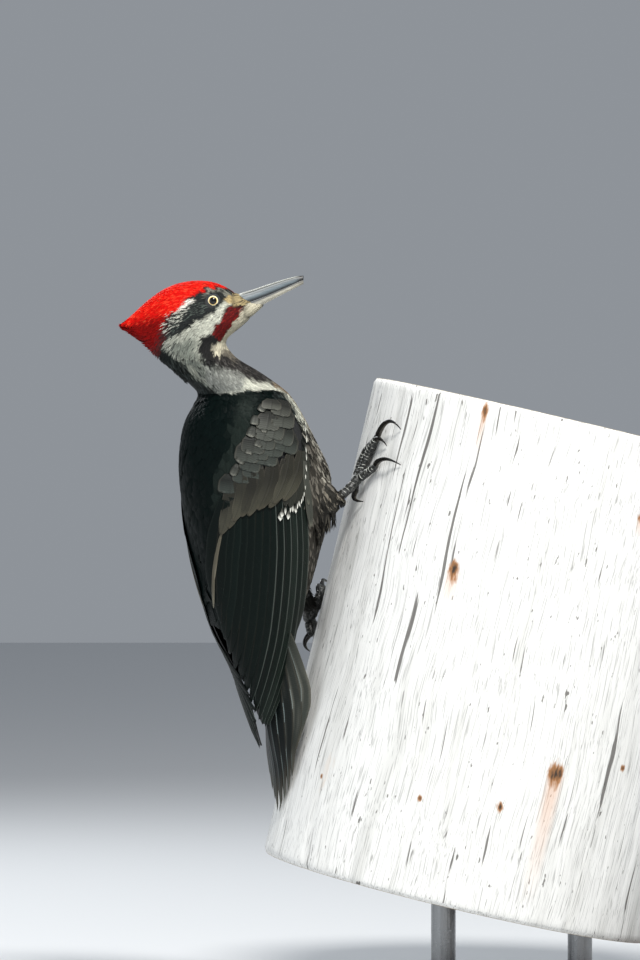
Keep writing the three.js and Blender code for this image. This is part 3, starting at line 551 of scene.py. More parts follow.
def coat(name, root, normal, place, tint, sizes, finish=None, kind="lance", section=SECTION_WIDE,
         slot="plumage_black", stiff=0.0, field=body_field, shade=0.16, turn=7.0, tip_tint=None,
         thickness=0.08, root_tone=0.62, rise=0.0):
    """A piece of coat: one vane at each root. place is the root's place on the unwrap; sizes are way, length,
    width and depth. Each vane's colour is its tint with a random tone, and darker towards its root, a painted
    shadow of the vanes that lie over it. Those with a rise stand out of the surface by that slope."""
    n = len(root)
    way, length, width, depth = (np.broadcast_to(v, (n, 3) if k == 0 else n) for k, v in enumerate(sizes))
    way = unit(way - (way * normal).sum(-1, keepdims=True) * normal)
    spin = np.radians(turn) * rng.normal(size=n)[:, None]
    way = way * np.cos(spin) + np.cross(normal, way) * np.sin(spin)
    way = unit(way + normal * np.broadcast_to(rise, (n,))[:, None])
    length = length * rng.uniform(0.85, 1.15, n)
    width = width * rng.uniform(0.9, 1.1, n)
    depth = depth * rng.uniform(0.8, 1.05, n)
    thick = np.clip(width * thickness, 0.05, 0.4)
    outline = OUTLINE[kind]
    points, facing = vanes(root, way, normal, length, width, depth, thick, section, outline,
                           np.broadcast_to(stiff, (n,)).astype(float), field)
    flat = turned_over(points, facing, len(outline), section) < TURNED_SHARE
    points, facing, place, length = points[flat], facing[flat], place[flat], length[flat]
    tint = np.broadcast_to(tint, (n, 3))[flat]
    share, side = per_point(outline, section)
    tone = np.exp(shade * rng.normal(size=(len(points), 1, 1)))
    # Painted shadow: each vane darker towards its root, where the vanes above cover it.
    colour = tint[:, None] * tone * (root_tone + (1 - root_tone) * smooth(0, 0.6, share))[:, None]
    if tip_tint is not None:
        colour = shaded(colour, tip_tint[flat][:, None], smooth(0.45, 0.95, share)[:, None])
    uv = place[:, None] + 0.0015 * np.stack([side, 2 * share - 1], -1)
    run = share * length[:, None]
    return vane_piece(name, points, colour, uv, run, outline, section, finish or SOFT_FEATHER, slot=slot,
                      normals=facing.reshape(-1, 3))


# ---------- the skin ----------
# Rings of the head, from the bill back and round the crest to the neck: throat end, crown end, half width.
HEAD_RINGS = np.array([
    (-188, 501.5, -189, 512.4, 7), (-193, 497.5, -194, 514.6, 9), (-199, 491.8, -201, 517.6, 12),
    (-204, 488, -211, 522.4, 15), (-207.5, 484.6, -222, 525.6, 18), (-209.4, 482.6, -236, 525.3, 19),
    (-210.4, 481.4, -250, 521, 18), (-211, 480.4, -262, 513.3, 16), (-211.2, 479.6, -272, 505, 14),
    (-211.3, 479, -280, 498, 13), (-211.3, 478.4, -284.2, 494, 13), (-211.1, 477.6, -280, 490.8, 13),
    (-210.6, 476.4, -272, 485.6, 14), (-209.6, 474.8, -264, 480, 16), (-208, 472.6, -257, 475, 18)], float)


def skin_rings(count):
    """(middle, first axis, second axis) of each ring: the head's from its table, then level ones down the
    trunk."""
    z = np.linspace(469, 257, 84)
    x, y, deep, half, turn = trunk_section(z)
    first = np.stack([-np.cos(turn), -np.sin(turn), 0 * z], -1) * deep[:, None]
    second = np.stack([-np.sin(turn), np.cos(turn), 0 * z], -1) * half[:, None]
    middle = np.stack([x, y, z], -1)
    t = np.arange(len(HEAD_RINGS), dtype=float)
    rows = np.c_[t, HEAD_RINGS]
    at = np.linspace(0, len(t) - 1, count)
    ax, az, bx, bz, wide = (along(rows, k, at) for k in range(1, 6))
    head_mid = np.stack([ax + (bx - ax) * 0.5, 0 * at + HEAD_Y, az + (bz - az) * 0.5], -1)
    head_first = np.stack([(bx - ax) / 2, 0 * at, (bz - az) / 2], -1)
    head_second = np.stack([0 * at, wide, 0 * at], -1)
    return (np.vstack([head_mid, middle]), np.vstack([head_first, first]), np.vstack([head_second, second]))


def field_along(middle, ray, field, reach=130.0, marks=60):
    """Point on each ray from its middle where the field first passes 0: the first of evenly spaced marks
    outside it, then halving between that mark and the one before."""
    high = np.full(ray.shape[:-1], reach)
    for t in np.linspace(reach, 0, marks)[:-1]:
        high = np.where(field(middle + ray * t) >= 0, t, high)
    low = high - reach / (marks - 1)
    for _ in range(16):
        t = (low + high) / 2
        inside = field(middle + ray * t[..., None]) < 0
        low, high = np.where(inside, t, low), np.where(inside, high, t)
    return middle + ray * low[..., None]


def core_grid(around=112, head_rings=84):
    """Grid (rings, around, 3) on the outline of the trunk and head."""
    middle, first, second = skin_rings(head_rings)
    ray = unit(spokes(first, second, around))
    return field_along(middle[:, None] + 0 * ray, ray, core_field)


def thigh_grid(side, depth, around=28, rings=26):
    """Grid round a thigh's chain of rods, with rounded ends."""
    rows = THIGHS[side]
    t = np.linspace(0, len(rows) - 1, rings)
    keyed = np.c_[np.arange(len(rows)), rows]
    path = np.stack([along(keyed, k, t) for k in (1, 2, 3)], -1)
    tangent = unit(np.gradient(path, axis=0))
    u = unit(np.cross(tangent, [0.2, 1, 0.1]))
    radius = along(keyed, 4, t) - depth
    return path[:, None] + spokes(u, np.cross(tangent, u), around) * np.maximum(radius, 1.2)[:, None, None]


def shown_mesh(piece):
    """(vertices in mm, quads) of a piece with its modifiers applied, which leave only quads."""
    mesh = piece.evaluated_get(bpy.context.evaluated_depsgraph_get()).to_mesh()
    co = np.empty(len(mesh.vertices) * 3, np.float32)
    mesh.vertices.foreach_get("co", co)
    corners = np.empty(len(mesh.loops), np.int32)
    mesh.loops.foreach_get("vertex_index", corners)
    return co.reshape(-1, 3).astype(float) * 1000, corners.reshape(-1, 4)


def scatter(grid, spacing_of, seed, candidates=9):
    """Roots on a closed grid: random places on its cells by area, thinned to one in each cube of the local
    spacing. Returns the points and their places on the unwrap, (share round, share along)."""
    gen = np.random.default_rng(seed)
    r, c, _ = grid.shape
    nxt = np.roll(grid, -1, 1)
    a, b, d, e = grid[:-1], nxt[:-1], nxt[1:], grid[1:]
    area = np.linalg.norm(np.cross(d - a, e - b), axis=-1) / 2
    spacing = spacing_of((a + b + d + e) / 4)
    want = candidates * area / spacing**2
    total = int(want.sum())
    cell = np.searchsorted(np.cumsum(want.ravel()), gen.uniform(0, want.sum(), total))
    i, k = np.divmod(np.clip(cell, 0, want.size - 1), c)
    u, v = gen.uniform(size=total), gen.uniform(size=total)
    point = ((a[i, k] * (1 - u)[:, None] + b[i, k] * u[:, None]) * (1 - v)[:, None]
             + (e[i, k] * (1 - u)[:, None] + d[i, k] * u[:, None]) * v[:, None])
    local = spacing_of(point)
    step = 1.12 ** np.round(np.log(local) / math.log(1.12))
    key = np.c_[np.floor(point / step[:, None]), np.round(step * 100)].astype(np.int64)
    _, first = np.unique(key, axis=0, return_index=True)
    first.sort()
    return point[first], np.stack([(k[first] + u[first]) / c, (i[first] + v[first]) / (r - 1)], -1)


# ---------- materials ----------
def material(name, base=(0.5, 0.5, 0.5), roughness=0.5, metallic=0.0, **sockets):
    """A new material, its tree and its shader; the sockets are named with _ for each space."""
    made = bpy.data.materials.new(name)
    made.use_nodes = True
    shader = made.node_tree.nodes["Principled BSDF"]
    shader.inputs["Base Color"].default_value = (*base, 1)
    shader.inputs["Roughness"].default_value = roughness
    shader.inputs["Metallic"].default_value = metallic
    for key, value in sockets.items():
        shader.inputs[key.replace("_", " ")].default_value = value
    return made, made.node_tree, shader


def put(tree, socket, value):
    """Links a socket to another one, or gives it a number or a colour."""
    if isinstance(value, bpy.types.NodeSocket):
        tree.links.new(value, socket)
    elif isinstance(value, (int, float)):
        socket.default_value = value
    else:
        socket.default_value = (*value, 1)[:len(socket.default_value)]


def node(tree, kind, **values):
    """A node of a kind; the values are settings of the node or numbers for its sockets."""
    made = tree.nodes.new(kind)
    for key, value in values.items():
        if hasattr(made, key):
            setattr(made, key, value)
        else:
            made.inputs[key].default_value = value
    return made


def maths(tree, operation, *inputs):
    """A Math node of numbers and sockets; returns its output."""
    made = node(tree, "ShaderNodeMath", operation=operation)
    for socket, value in zip(made.inputs, inputs):
        put(tree, socket, value)
    return made.outputs[0]


def hypot(tree, a, b):
    """Root of the sum of two sockets' squares."""
    return maths(tree, "SQRT", maths(tree, "ADD", maths(tree, "POWER", a, 2.0), maths(tree, "POWER", b, 2.0)))


def split(tree, vector):
    """The three outputs of a vector's parts."""
    made = node(tree, "ShaderNodeSeparateXYZ")
    tree.links.new(vector, made.inputs[0])
    return made.outputs


def mix(tree, factor, a, b, blend="MIX"):
    """A colour Mix node of sockets or colours; returns its output."""
    made = node(tree, "ShaderNodeMix", data_type="RGBA", blend_type=blend)
    for socket, value in ((made.inputs[0], factor), (made.inputs[6], a), (made.inputs[7], b)):
        put(tree, socket, value)
    return made.outputs[2]


def ramp(tree, value, *stops):
    """A Color Ramp through (place, colour or grey) stops; returns its output."""
    made = node(tree, "ShaderNodeValToRGB")
    band = made.color_ramp
    while len(band.elements) < len(stops):
        band.elements.new(0.5)
    for element, (place, colour) in zip(band.elements, stops):
        element.position = place
        element.color = (*((colour,) * 3 if isinstance(colour, (int, float)) else colour), 1)
    tree.links.new(value, made.inputs[0])
    return made.outputs[0]


def bump(tree, shader, height, strength, distance):
    """Relief on a shader: a height in 0..1 over a distance in metres."""
    made = node(tree, "ShaderNodeBump", Strength=strength, Distance=distance)
    tree.links.new(height, made.inputs["Height"])
    tree.links.new(made.outputs[0], shader.inputs["Normal"])


def attribute(tree, name, output="Vector"):
    """A mesh attribute's output."""
    return node(tree, "ShaderNodeAttribute", attribute_name=name).outputs[output]


def texture(tree, kind="Noise", where=None, stretch=None, turn=(0, 0, 0), shift=0.0, **values):
    """A texture's output at where, the object's own place unless given, stretched, turned and shifted."""
    if where is None:
        where = node(tree, "ShaderNodeTexCoord").outputs["Object"]
    if stretch:
        mapping = node(tree, "ShaderNodeMapping", Scale=stretch, Rotation=turn, Location=(shift,) * 3)
        tree.links.new(where, mapping.inputs[0])
        where, values = mapping.outputs[0], {"Scale": 1.0, **values}
    made = node(tree, f"ShaderNodeTex{kind}", **values)
    tree.links.new(where, made.inputs["Vector"])
    return made.outputs[0]


def plumage(name, roughness, specular, shaft, shaft_share, barbs, edge=0.0, edge_tint=(120, 112, 98)):
    """Feather: the tint attribute, a shaft line down the middle, fine slanting barbs and a worn edge. The
    vane attribute holds the share across, the run along in mm and a random number."""
    made, tree, shader = material(name, roughness=roughness, Specular_IOR_Level=specular)
    side, run, number = split(tree, attribute(tree, "vane"))
    across = maths(tree, "ABSOLUTE", side)
    slant = maths(tree, "SUBTRACT", run, maths(tree, "MULTIPLY", across, 2.2))
    phase = maths(tree, "MULTIPLY_ADD", number, 40.0, maths(tree, "MULTIPLY", slant, barbs))
    line = maths(tree, "SINE", phase)
    soft = node(tree, "ShaderNodeTexNoise", noise_dimensions="1D", Scale=0.9, Detail=3.0)
    tree.links.new(phase, soft.inputs["W"])
    tone = maths(tree, "MULTIPLY_ADD", line, 0.10, maths(tree, "MULTIPLY_ADD", soft.outputs[0], 0.5, 0.72))
    tint = mix(tree, 1.0, attribute(tree, "tint", "Color"), tone, "MULTIPLY")
    rachis = ramp(tree, across, (0.0, 1.0), (0.05, 1.0), (0.11, 0.0))
    tint = mix(tree, maths(tree, "MULTIPLY", rachis, shaft_share), tint, linear(*shaft))
    if edge:
        worn = ramp(tree, across, (0.8, 0.0), (0.97, 1.0))
        tint = mix(tree, maths(tree, "MULTIPLY", worn, edge), tint, linear(*edge_tint))
    tree.links.new(tint, shader.inputs["Base Color"])
    height = maths(tree, "MULTIPLY_ADD", rachis, 1.2, maths(tree, "MULTIPLY", line, 0.5))
    bump(tree, shader, height, 0.35, 0.0002)
    return made


# Feathers: name, roughness, specular level, the shaft's colour and share, barbs to the mm, and the worn edge.
SOFT_FEATHER = plumage("soft_feather", 0.65, 0.18, (60, 56, 50), 0.12, 6.0)
BACK_FEATHER = plumage("glossy_black_feather", 0.5, 0.05, (7, 11, 11), 0.3, 5.0)
FLIGHT_FEATHER = plumage("flight_feather", 0.45, 0.08, (28, 28, 24), 0.6, 4.0, 0.08, (70, 78, 72))
EDGED_FEATHER = plumage("edged_flight_feather", 0.42, 0.08, (20, 20, 19), 0.6, 4.0, 0.45, (112, 120, 114))
COVERT_FEATHER = plumage("covert_feather", 0.55, 0.2, (32, 32, 30), 0.3, 4.5, 0.12)
CREST_FEATHER = plumage("crest_feather", 0.55, 0.08, (250, 40, 20), 0.2, 5.0)
TAIL_FEATHER = plumage("tail_feather", 0.4, 0.12, (90, 96, 94), 0.2, 3.5, 0.1)


def tinted(made, tree, shader, grain, low, high, strength, distance):
    """Gives a material its mesh's tint under a grain, from low's (place, grey) to high's, with the grain's
    relief."""
    tone = ramp(tree, grain, low, high)
    tree.links.new(mix(tree, 1.0, attribute(tree, "tint", "Color"), tone, "MULTIPLY"),
                   shader.inputs["Base Color"])
    bump(tree, shader, grain, strength, distance)
    return made


def skin_material():
    """The markings a shade darker, with fine pimples."""
    made, tree, shader = material("skin_under_feathers", roughness=0.75)
    grain = texture(tree, Scale=900.0, Detail=3.0)
    return tinted(made, tree, shader, grain, (0.3, 0.45), (0.7, 0.85), 0.4, 0.0004)


def horn_material(name, roughness):
    """Horn with a fine grain along the bill."""
    made, tree, shader = material(name, roughness=roughness)
    grain = texture(tree, stretch=(60, 900, 900), turn=(0, math.radians(15), 0), Detail=4.0)
    return tinted(made, tree, shader, grain, (0.3, 0.72), (0.7, 1.0), 0.25, 0.0002)


# ---------- skin and coat of the body ----------
COAT_DEPTH, THIGH_DEPTH = 0.85, 2.6  # of the skin: share of the feathers' depth, and mm on the thighs
SKIN_VOXEL = 0.0016


def skin():
    """The trunk and head and the two thighs made one mesh, which is even and smooth."""
    core = grid - unit(slope_of(core_field, grid)) * (lie(grid)[3] * COAT_DEPTH)[..., None]
    verts, faces = joined_grids([core, thigh_grid("right", THIGH_DEPTH), thigh_grid("left", THIGH_DEPTH)])
    finish = skin_material()
    raw = mesh_piece("skin_raw", verts, faces, finish)
    remesh = raw.modifiers.new("one_skin", "REMESH")
    remesh.mode, remesh.voxel_size, remesh.use_smooth_shade = "VOXEL", SKIN_VOXEL, True
    relax = raw.modifiers.new("even", "SMOOTH")
    relax.factor, relax.iterations = 0.5, 4
    verts, faces = shown_mesh(raw)
    bpy.data.objects.remove(raw)
    mesh_piece("skin", verts, faces, finish, tint=markings(verts)[0] * 0.8,
               node=["trunk", "neck", "head", "crest", "thigh_right", "thigh_left"], slot="plumage_black")


grid = core_grid()
skin()


def wing_polar(p):
    """(angle from the back, gap outside the wing's oval and over its top, its upper and lower edges) at
    points near a folded wing."""
    x, y = turned(p[..., 0] - TRUNK_AXIS[0], p[..., 1] - TRUNK_AXIS[1], TRUNK_TURN)
    z = np.clip(p[..., 2], WING[0, 0], WING[-1, 0])
    mid, deep, wide, upper, lower = (along(WING, k, z) for k in range(1, 6))
    angle = np.degrees(np.arctan2(np.abs(y) / wide, -(x - mid) / deep))
    lift = WING_LIFT + 0.5
    gap = (np.hypot((x - mid) / (deep + lift), y / (wide + lift)) - 1) * np.minimum(deep, wide)
    return angle, np.maximum(gap, 1.2 * np.abs(p[..., 2] - z) - 3), upper, lower


def cover_field(p):
    """The body's field joined to the outer face of the folded wings."""
    angle, gap, upper, lower = wing_polar(p)
    beyond = np.maximum(np.maximum(upper - angle, angle - lower), 0)
    return blend_lower(body_field(p), gap + 0.15 * beyond, 4.0)


def under_wing(p, top, bottom):
    """True where a folded wing covers the body, from top degrees inside its upper edge to bottom inside its
    lower."""
    angle, _, upper, lower = wing_polar(p)
    covered = (angle > upper + top) & (angle < lower - bottom)
    return covered & (p[..., 2] > WING_COVER[0]) & (p[..., 2] < WING_COVER[1])


def spacing_of(p):
    """Spacing of the body's feathers: a share of their width."""
    return lie(p)[2] * (0.62 - 0.12 * smooth(NECK_TOP, 482, p[..., 2]))


# Mottled places: share of odd feathers, their colour and the outline of the place.
MOTTLED = [
    (0.24, (72, 80, 74), [(222, 303), (206, 312), (186, 324), (172, 334), (176, 322), (196, 306),
                          (204, 302)]),
    (0.3, (168, 164, 152), [(304, 412), (314, 430), (326, 458), (333, 484), (324, 486), (310, 455),
                            (302, 425)]),
    (0.4, (176, 176, 164), [(192, 306), (190, 316), (180, 325), (168, 332), (165, 326), (170, 314),
                            (180, 309)]),
    (0.16, (70, 72, 68), [(200, 334), (204, 360), (216, 378), (214, 390), (194, 378), (176, 360),
                          (167, 344)]),
    (0.3, (132, 22, 18), OUTLINES["malar"]), (0.18, (48, 8, 8), OUTLINES["malar"]),
    (0.06, (110, 110, 102), [(222, 307), (206, 318), (180, 334), (186, 338), (206, 334), (222, 318)]),
]


def body_coat():
    """The feathers of head, neck and trunk. Their colour is read half way along them, and the parts of the
    coat are told apart at their roots."""
    root, place = scatter(grid, spacing_of, 11)
    eye_gap = np.hypot(root[:, 0] - EYE[0], root[:, 2] - EYE[2])
    past, low, high = BILL_BARE
    in_bill = (root[:, 0] > past) & (root[:, 2] > low) & (root[:, 2] < high)
    in_thigh = np.minimum(thigh_field(root, "right"), thigh_field(root, "left")) < -2.5
    keep = (eye_gap > EYE_BARE) & ~in_bill & ~under_wing(root, 3, 9) & ~in_thigh
    keep &= ~(under_wing(root, 3, 1) & (root[:, 2] < 325))
    root, place = root[keep], place[keep]
    way, length, width, depth = lie(root)
    tint, seen = markings(root + unit(way) * (0.5 * length)[:, None])
    q = plan(root)
    a, b, n = q[:, 0], q[:, 1], len(q)
    on_head = (b < 352) | (root[:, 2] > HEAD_FLOOR)
    width = width * (1 - 0.2 * smooth(NECK_TOP, 482, root[:, 2]))
    at_nostril = (outside(q, OUTLINES["nostril tufts"]) < 1.0) & (a > 233)
    at_chin = (a > 245) & (b > 300) & (b < 318) & ~at_nostril
    way[at_nostril], way[at_chin] = (0.95, 0, 0.3), (0.9, 0, 0.43)
    length = np.where(at_nostril, 7.5, np.where(at_chin, 12.0, length))
    width = np.where(at_nostril | at_chin, 0.75 * width, width)
    tint[at_nostril] = linear(160, 144, 106)
    tint[at_nostril & (rng.uniform(size=n) < 0.4)] = linear(74, 64, 48)
    tint[at_chin] = linear(186, 180, 158)
    is_crown = (outside(seen, OUTLINES["crown"]) < 0.5) & ~at_nostril
    is_back = (tint.sum(-1) < 0.07) & ~on_head & (a < 264) & (b > 388)
    for share, colour, corners in MOTTLED:
        tint[(outside(seen, corners) < 0) & (rng.uniform(size=n) < share)] = linear(*colour)
    normal = unit(slope_of(body_field, root))
    of_head, of_body = ~is_crown & on_head, ~is_crown & ~on_head & ~is_back
    parts = {"crown": is_crown, "face": of_head & (b < 322), "cheek": of_head & (b >= 322), "back": is_back,
             "neck": of_body & (b < 374), "shoulder": of_body & (b >= 374) & (b < 400),
             "breast": of_body & (b >= 400)}
    for part, chosen in parts.items():
        colour, facing, n = tint[chosen], normal[chosen], chosen.sum()
        extra = {"stiff": 0.35 * smooth(150, 118, a[chosen]) * (part == "crown"), "shade": 0.18}
        if part in ("crown", "face", "cheek"):
            extra["section"] = SECTION_FINE
        else:
            extra["field"] = cover_field
        if part in ("crown", "cheek", "neck"):
            nape = smooth(322, 334, b[chosen]) * smooth(-0.25, -0.6, facing @ np.array([0.6, 0, 0.8]))
            ragged = nape * smooth(196, 186, a[chosen]) * (rng.uniform(size=n) < 0.5)
            extra.update(rise=0.28 * ragged, stiff=np.maximum(extra["stiff"], 0.6 * ragged))
        if part == "crown":
            # Painted highlight: about a fifth of the crown's feathers turn a lighter orange-red towards the
            # tip, the rest a little darker; their roots darker, partly the feathers' own darker bases and
            # partly painted shadow.
            highlighted = rng.uniform(size=(n, 1)) < 0.22
            highlight_tint = colour * 1.15 + np.array([0.06, 0.05, 0.02]) * (colour[:, :1] > 0.4)
            extra.update(root_tone=0.42, tip_tint=np.where(highlighted, np.minimum(highlight_tint, 1), colour * 0.92),
                         finish=CREST_FEATHER, slot="plumage_red")
        if part in ("breast", "shoulder", "neck"):
            streak = rng.uniform(size=(n, 1)) < 0.3
            pale = colour * np.where(colour.sum(-1, keepdims=True) < 0.3, 3.2, 1.2) + 0.02
            extra["tip_tint"] = np.where(streak, np.minimum(pale, 0.75), colour * 0.8)
        if part == "back":
            extra.update(shade=0.06, thickness=0.012, root_tone=0.92, turn=3.0, finish=BACK_FEATHER,
                         kind="round")
        deep = depth[chosen] * 0.9
        coat(f"coat_{part}", root[chosen] - facing * deep[:, None], facing, place[chosen], colour,
             (way[chosen], length[chosen], width[chosen], deep), **extra)


def thigh_coat(side):
    """The feathers of one thigh; the lowest ones stand out as tufts."""
    root, place = scatter(thigh_grid(side, 0.0), lambda p: 0 * p[..., 0] + 2.1, 21)
    keep = core_field(root) > -2.0
    root, place = root[keep], place[keep]
    n, normal = len(root), unit(slope_of(body_field, root))
    way = 0.75 * unit(THIGHS[side][-1, :3] - THIGHS[side][0, :3]) + np.array([0, 0, -0.75])
    low = smooth(-0.1, -0.6, normal[:, 2]) * (rng.uniform(size=n) < 0.8)
    pale = shaded((38, 37, 33), (118, 112, 100), rng.uniform(size=(n, 1)) < 0.25)
    sizes = way - np.array([0.5, 0, 0.3]) * low[:, None], 12.0 + 3 * low, 2.2 - 0.7 * low, 2.0
    coat(f"coat_thigh_{side}", root - normal * 2.0, normal, place, linear(44, 42, 38), sizes, shade=0.22,
         tip_tint=pale, rise=0.75 * low, stiff=0.85 * low)


body_coat()
thigh_coat("right")
thigh_coat("left")


# ---------- wings ----------
def from_trunk(x, y, z):
    """Points from the trunk's own axes, x towards the pole."""
    x, y = turned(x, y, -TRUNK_TURN)
    return np.stack(np.broadcast_arrays(TRUNK_AXIS[0] + x, TRUNK_AXIS[1] + y, z), -1)


def wing_place(q):
    """(height, share from the upper to the lower edge) of places on the side plan that lie on the right
    wing."""
    z = (PLAN_B - q[..., 1]) * SCALE
    mid, deep, wide, upper, lower = (along(WING, k, z) for k in range(1, 6))
    c, s = math.cos(TRUNK_TURN), math.sin(TRUNK_TURN)
    a, b = (deep + WING_LIFT) * c, (wide + WING_LIFT) * s
    rise = ((q[..., 0] - PLAN_A) * SCALE - TRUNK_AXIS[0] - mid * c) / np.hypot(a, b)
    angle = np.arctan2(a, b) + np.arcsin(np.clip(rise, -0.995, 0.995))
    return z, (np.degrees(angle) - upper) / (lower - upper)


def wing_point(side, z, share, lift):
    """Point at lift outside a wing's outer face. The left wing's lower part is longer, as its primaries are
    spread."""
    table, sign = (WING, -1) if side == "right" else (LEFT_WING, 1)
    if side == "left":
        stretch = (WING_FLARE_Z - LEFT_WING[0, 0]) / (WING_FLARE_Z - WING[0, 0])
        z = np.where(z < WING_FLARE_Z, WING_FLARE_Z - (WING_FLARE_Z - z) * stretch, z)
    mid, deep, wide, upper, lower = (along(table, k, z) for k in range(1, 6))
    angle = np.radians(upper + (lower - upper) * share)
    x = mid - (deep + WING_LIFT + lift) * np.cos(angle)
    y = sign * (wide + WING_LIFT + lift) * np.sin(angle)
    return from_trunk(x, y, z)


def blades(name, side, base, tip, half, lift, tint, finish=COVERT_FEATHER, bend=0.0, kind="blade",
           section=SECTION_BLADE, thick=0.3, tilt=0.0, tip_tint=None, shade=0.08, strips=False,
           root_tone=1.0):
    """Feathers drawn on the side plan and wrapped on a wing. Each runs base to tip, bowed sideways by bend
    times sin(pi s), half * outline wide each way, at a height going from lift's first value to its second
    and tilted across. tip_tint is a colour and the share of the length where it begins; strips unwraps each
    by itself."""
    outline, n = OUTLINE[kind], len(base)
    s, o = outline[:, 0], outline[:, 1]
    bend, half = (np.broadcast_to(v, (n,)).astype(float) for v in (bend, half))
    run = tip - base
    side_way = unit(np.stack([-run[:, 1], run[:, 0]], -1))
    s_all = np.r_[s, 1.0]
    bow = (bend[:, None] * np.sin(math.pi * s_all))[..., None]
    middle = base[:, None] + run[:, None] * s_all[:, None] + side_way[:, None] * bow
    heading = unit(np.gradient(middle, axis=1))
    across = np.stack([-heading[..., 1], heading[..., 0]], -1)
    wide = section[:, 0][None, None] * (half[:, None] * o[None])[..., None]
    q = middle[:, :-1, None] + across[:, :-1, None] * wide[..., None]
    fray = 0.5 * rng.normal(size=(n, 1, len(section))) * smooth(0.6, 0.95, s)[None, :, None]
    q = q + heading[:, :-1, None] * fray[..., None]
    low, high = (np.broadcast_to(v, (n,)).astype(float)[:, None, None] for v in lift)
    up = low + (high - low) * s[None, :, None] + tilt * section[:, 0][None, None]
    up = up + thick * section[:, 1][None, None] * (0.35 + 0.65 * o)[None, :, None]
    q = np.concatenate([q.reshape(n, -1, 2), middle[:, -1:]], 1)
    up = np.concatenate([up.reshape(n, -1), high[:, :, 0]], 1)
    points = wing_point(side, *wing_place(q), up)
    share, cross = per_point(outline, section)
    colour = np.broadcast_to(tint, (n, 3))[:, None] * np.exp(shade * rng.normal(size=(n, 1, 1)))
    # Painted shadow: darker towards the root, under the feathers that overlap it.
    colour = colour * (root_tone + (1 - root_tone) * smooth(0.3, 0.85, share))[:, None]
    if tip_tint is not None:
        goal, start = tip_tint
        goal = np.broadcast_to(linear(*goal) if isinstance(goal, tuple) else goal, (n, 3))[:, None]
        colour = shaded(colour, goal, smooth(start, 1, share)[:, None])
    if strips:
        uv = np.stack([(np.arange(n)[:, None] + 0.5 + 0.46 * cross) / n, share + 0 * up], -1)
    else:
        z, place = wing_place(base)
        uv = np.stack([place, (z - 180) / 280], -1)[:, None] + 0.0015 * np.stack([cross, 2 * share - 1], -1)
    length = np.linalg.norm(run, axis=1)[:, None] * SCALE
    return vane_piece(f"{name}_{side}", points, colour, uv, share * length, outline, section, finish,
                      flip=side == "right", slot="plumage_wing")


def lattice(corners, first, row, way, steps, count=16, shift=1.5):
    """(base, tip) of feathers whose tips lie inside a polygon: rows along one direction, the next row
    steps[1] further along the feathers' way with every second one shifted by half of steps[0]. Bases lie up
    the way, closer where the polygon's top is near."""
    i, j = np.meshgrid(np.arange(-count, count), np.arange(-count, count), indexing="ij")
    row, way = unit(np.array(row, float)), unit(np.array(way, float))
    q = np.array(first) + ((i + 0.5 * (j % 2)) * steps[0])[..., None] * row + (j * steps[1])[..., None] * way
    q = q.reshape(-1, 2)
    q = q + rng.normal(size=q.shape) * shift
    q = q[outside(q, corners) < 0]
    reach = np.clip((q[:, 1] - COVERT_TOP) * 0.95, 5, 20) * rng.uniform(0.92, 1.08, len(q))
    spin = np.radians(5) * rng.normal(size=len(q))
    return q - np.stack(turned(way[0], way[1], -spin), -1) * reach[:, None], q


# On the side plan. The small coverts' tips lie inside COVERT_AREA, and COVERT_TOP is where their bases end.
COVERT_AREA = [(264, 409), (271, 405), (276, 408), (280, 415), (284, 428), (286, 446), (282, 456), (272, 465),
               (258, 475), (243, 488), (235, 496), (231, 498), (232, 489), (238, 475), (246, 460), (255, 444),
               (262, 427)]
COVERT_TOP = 399
# Tips of the flight feathers: share from the innermost to the outermost, place.
FLIGHT_TIPS = np.array([(0, 220, 606), (0.16, 227, 640), (0.33, 236, 670), (0.51, 246, 696), (0.69, 255, 714),
                        (0.86, 262, 726), (1, 267.5, 728)], float)
# White marks along the wing's front edge: tip and half width.
WHITE_MARKS = np.array([
    (278.5, 521, 2.5), (280.5, 518, 1.9), (283.5, 516, 1.2), (286.5, 517.5, 1.9), (288.5, 513, 0.9),
    (291, 512, 1.1), (293, 513, 1.5), (295, 509, 0.9), (297.5, 508, 1.1), (299.5, 505, 0.8),
    (301, 501, 0.6), (302, 497, 0.6), (303, 489, 0.6), (303.6, 480, 0.6), (304, 471, 0.6), (304, 462, 0.6),
    (303.8, 453, 0.6), (303.4, 444, 0.6), (302.6, 434, 0.6)])
# Paler coverts here and there: tip, way back to the base, half width.
PALE_TIPS = np.array([(240.5, 464, 5, -9, 5), (248.5, 455, 3, -10, 4.2), (257, 446, 5.5, -9, 4.6),
                      (233, 476, 4.5, -11, 4), (254.5, 425, 2, -9, 4.6), (260.5, 412, 4, -8, 4.2),
                      (250, 438, 3.5, -10, 5), (262, 432, 1.5, -10, 3.6)])


def flight_bend(share):
    """Bow of the flight feathers, from the innermost's to the outermost's."""
    return 5.0 - 21.0 * share**1.1


def flight_tips(share):
    """Their tips on the side plan."""
    return np.stack([along(FLIGHT_TIPS, 1, share), along(FLIGHT_TIPS, 2, share)], -1)


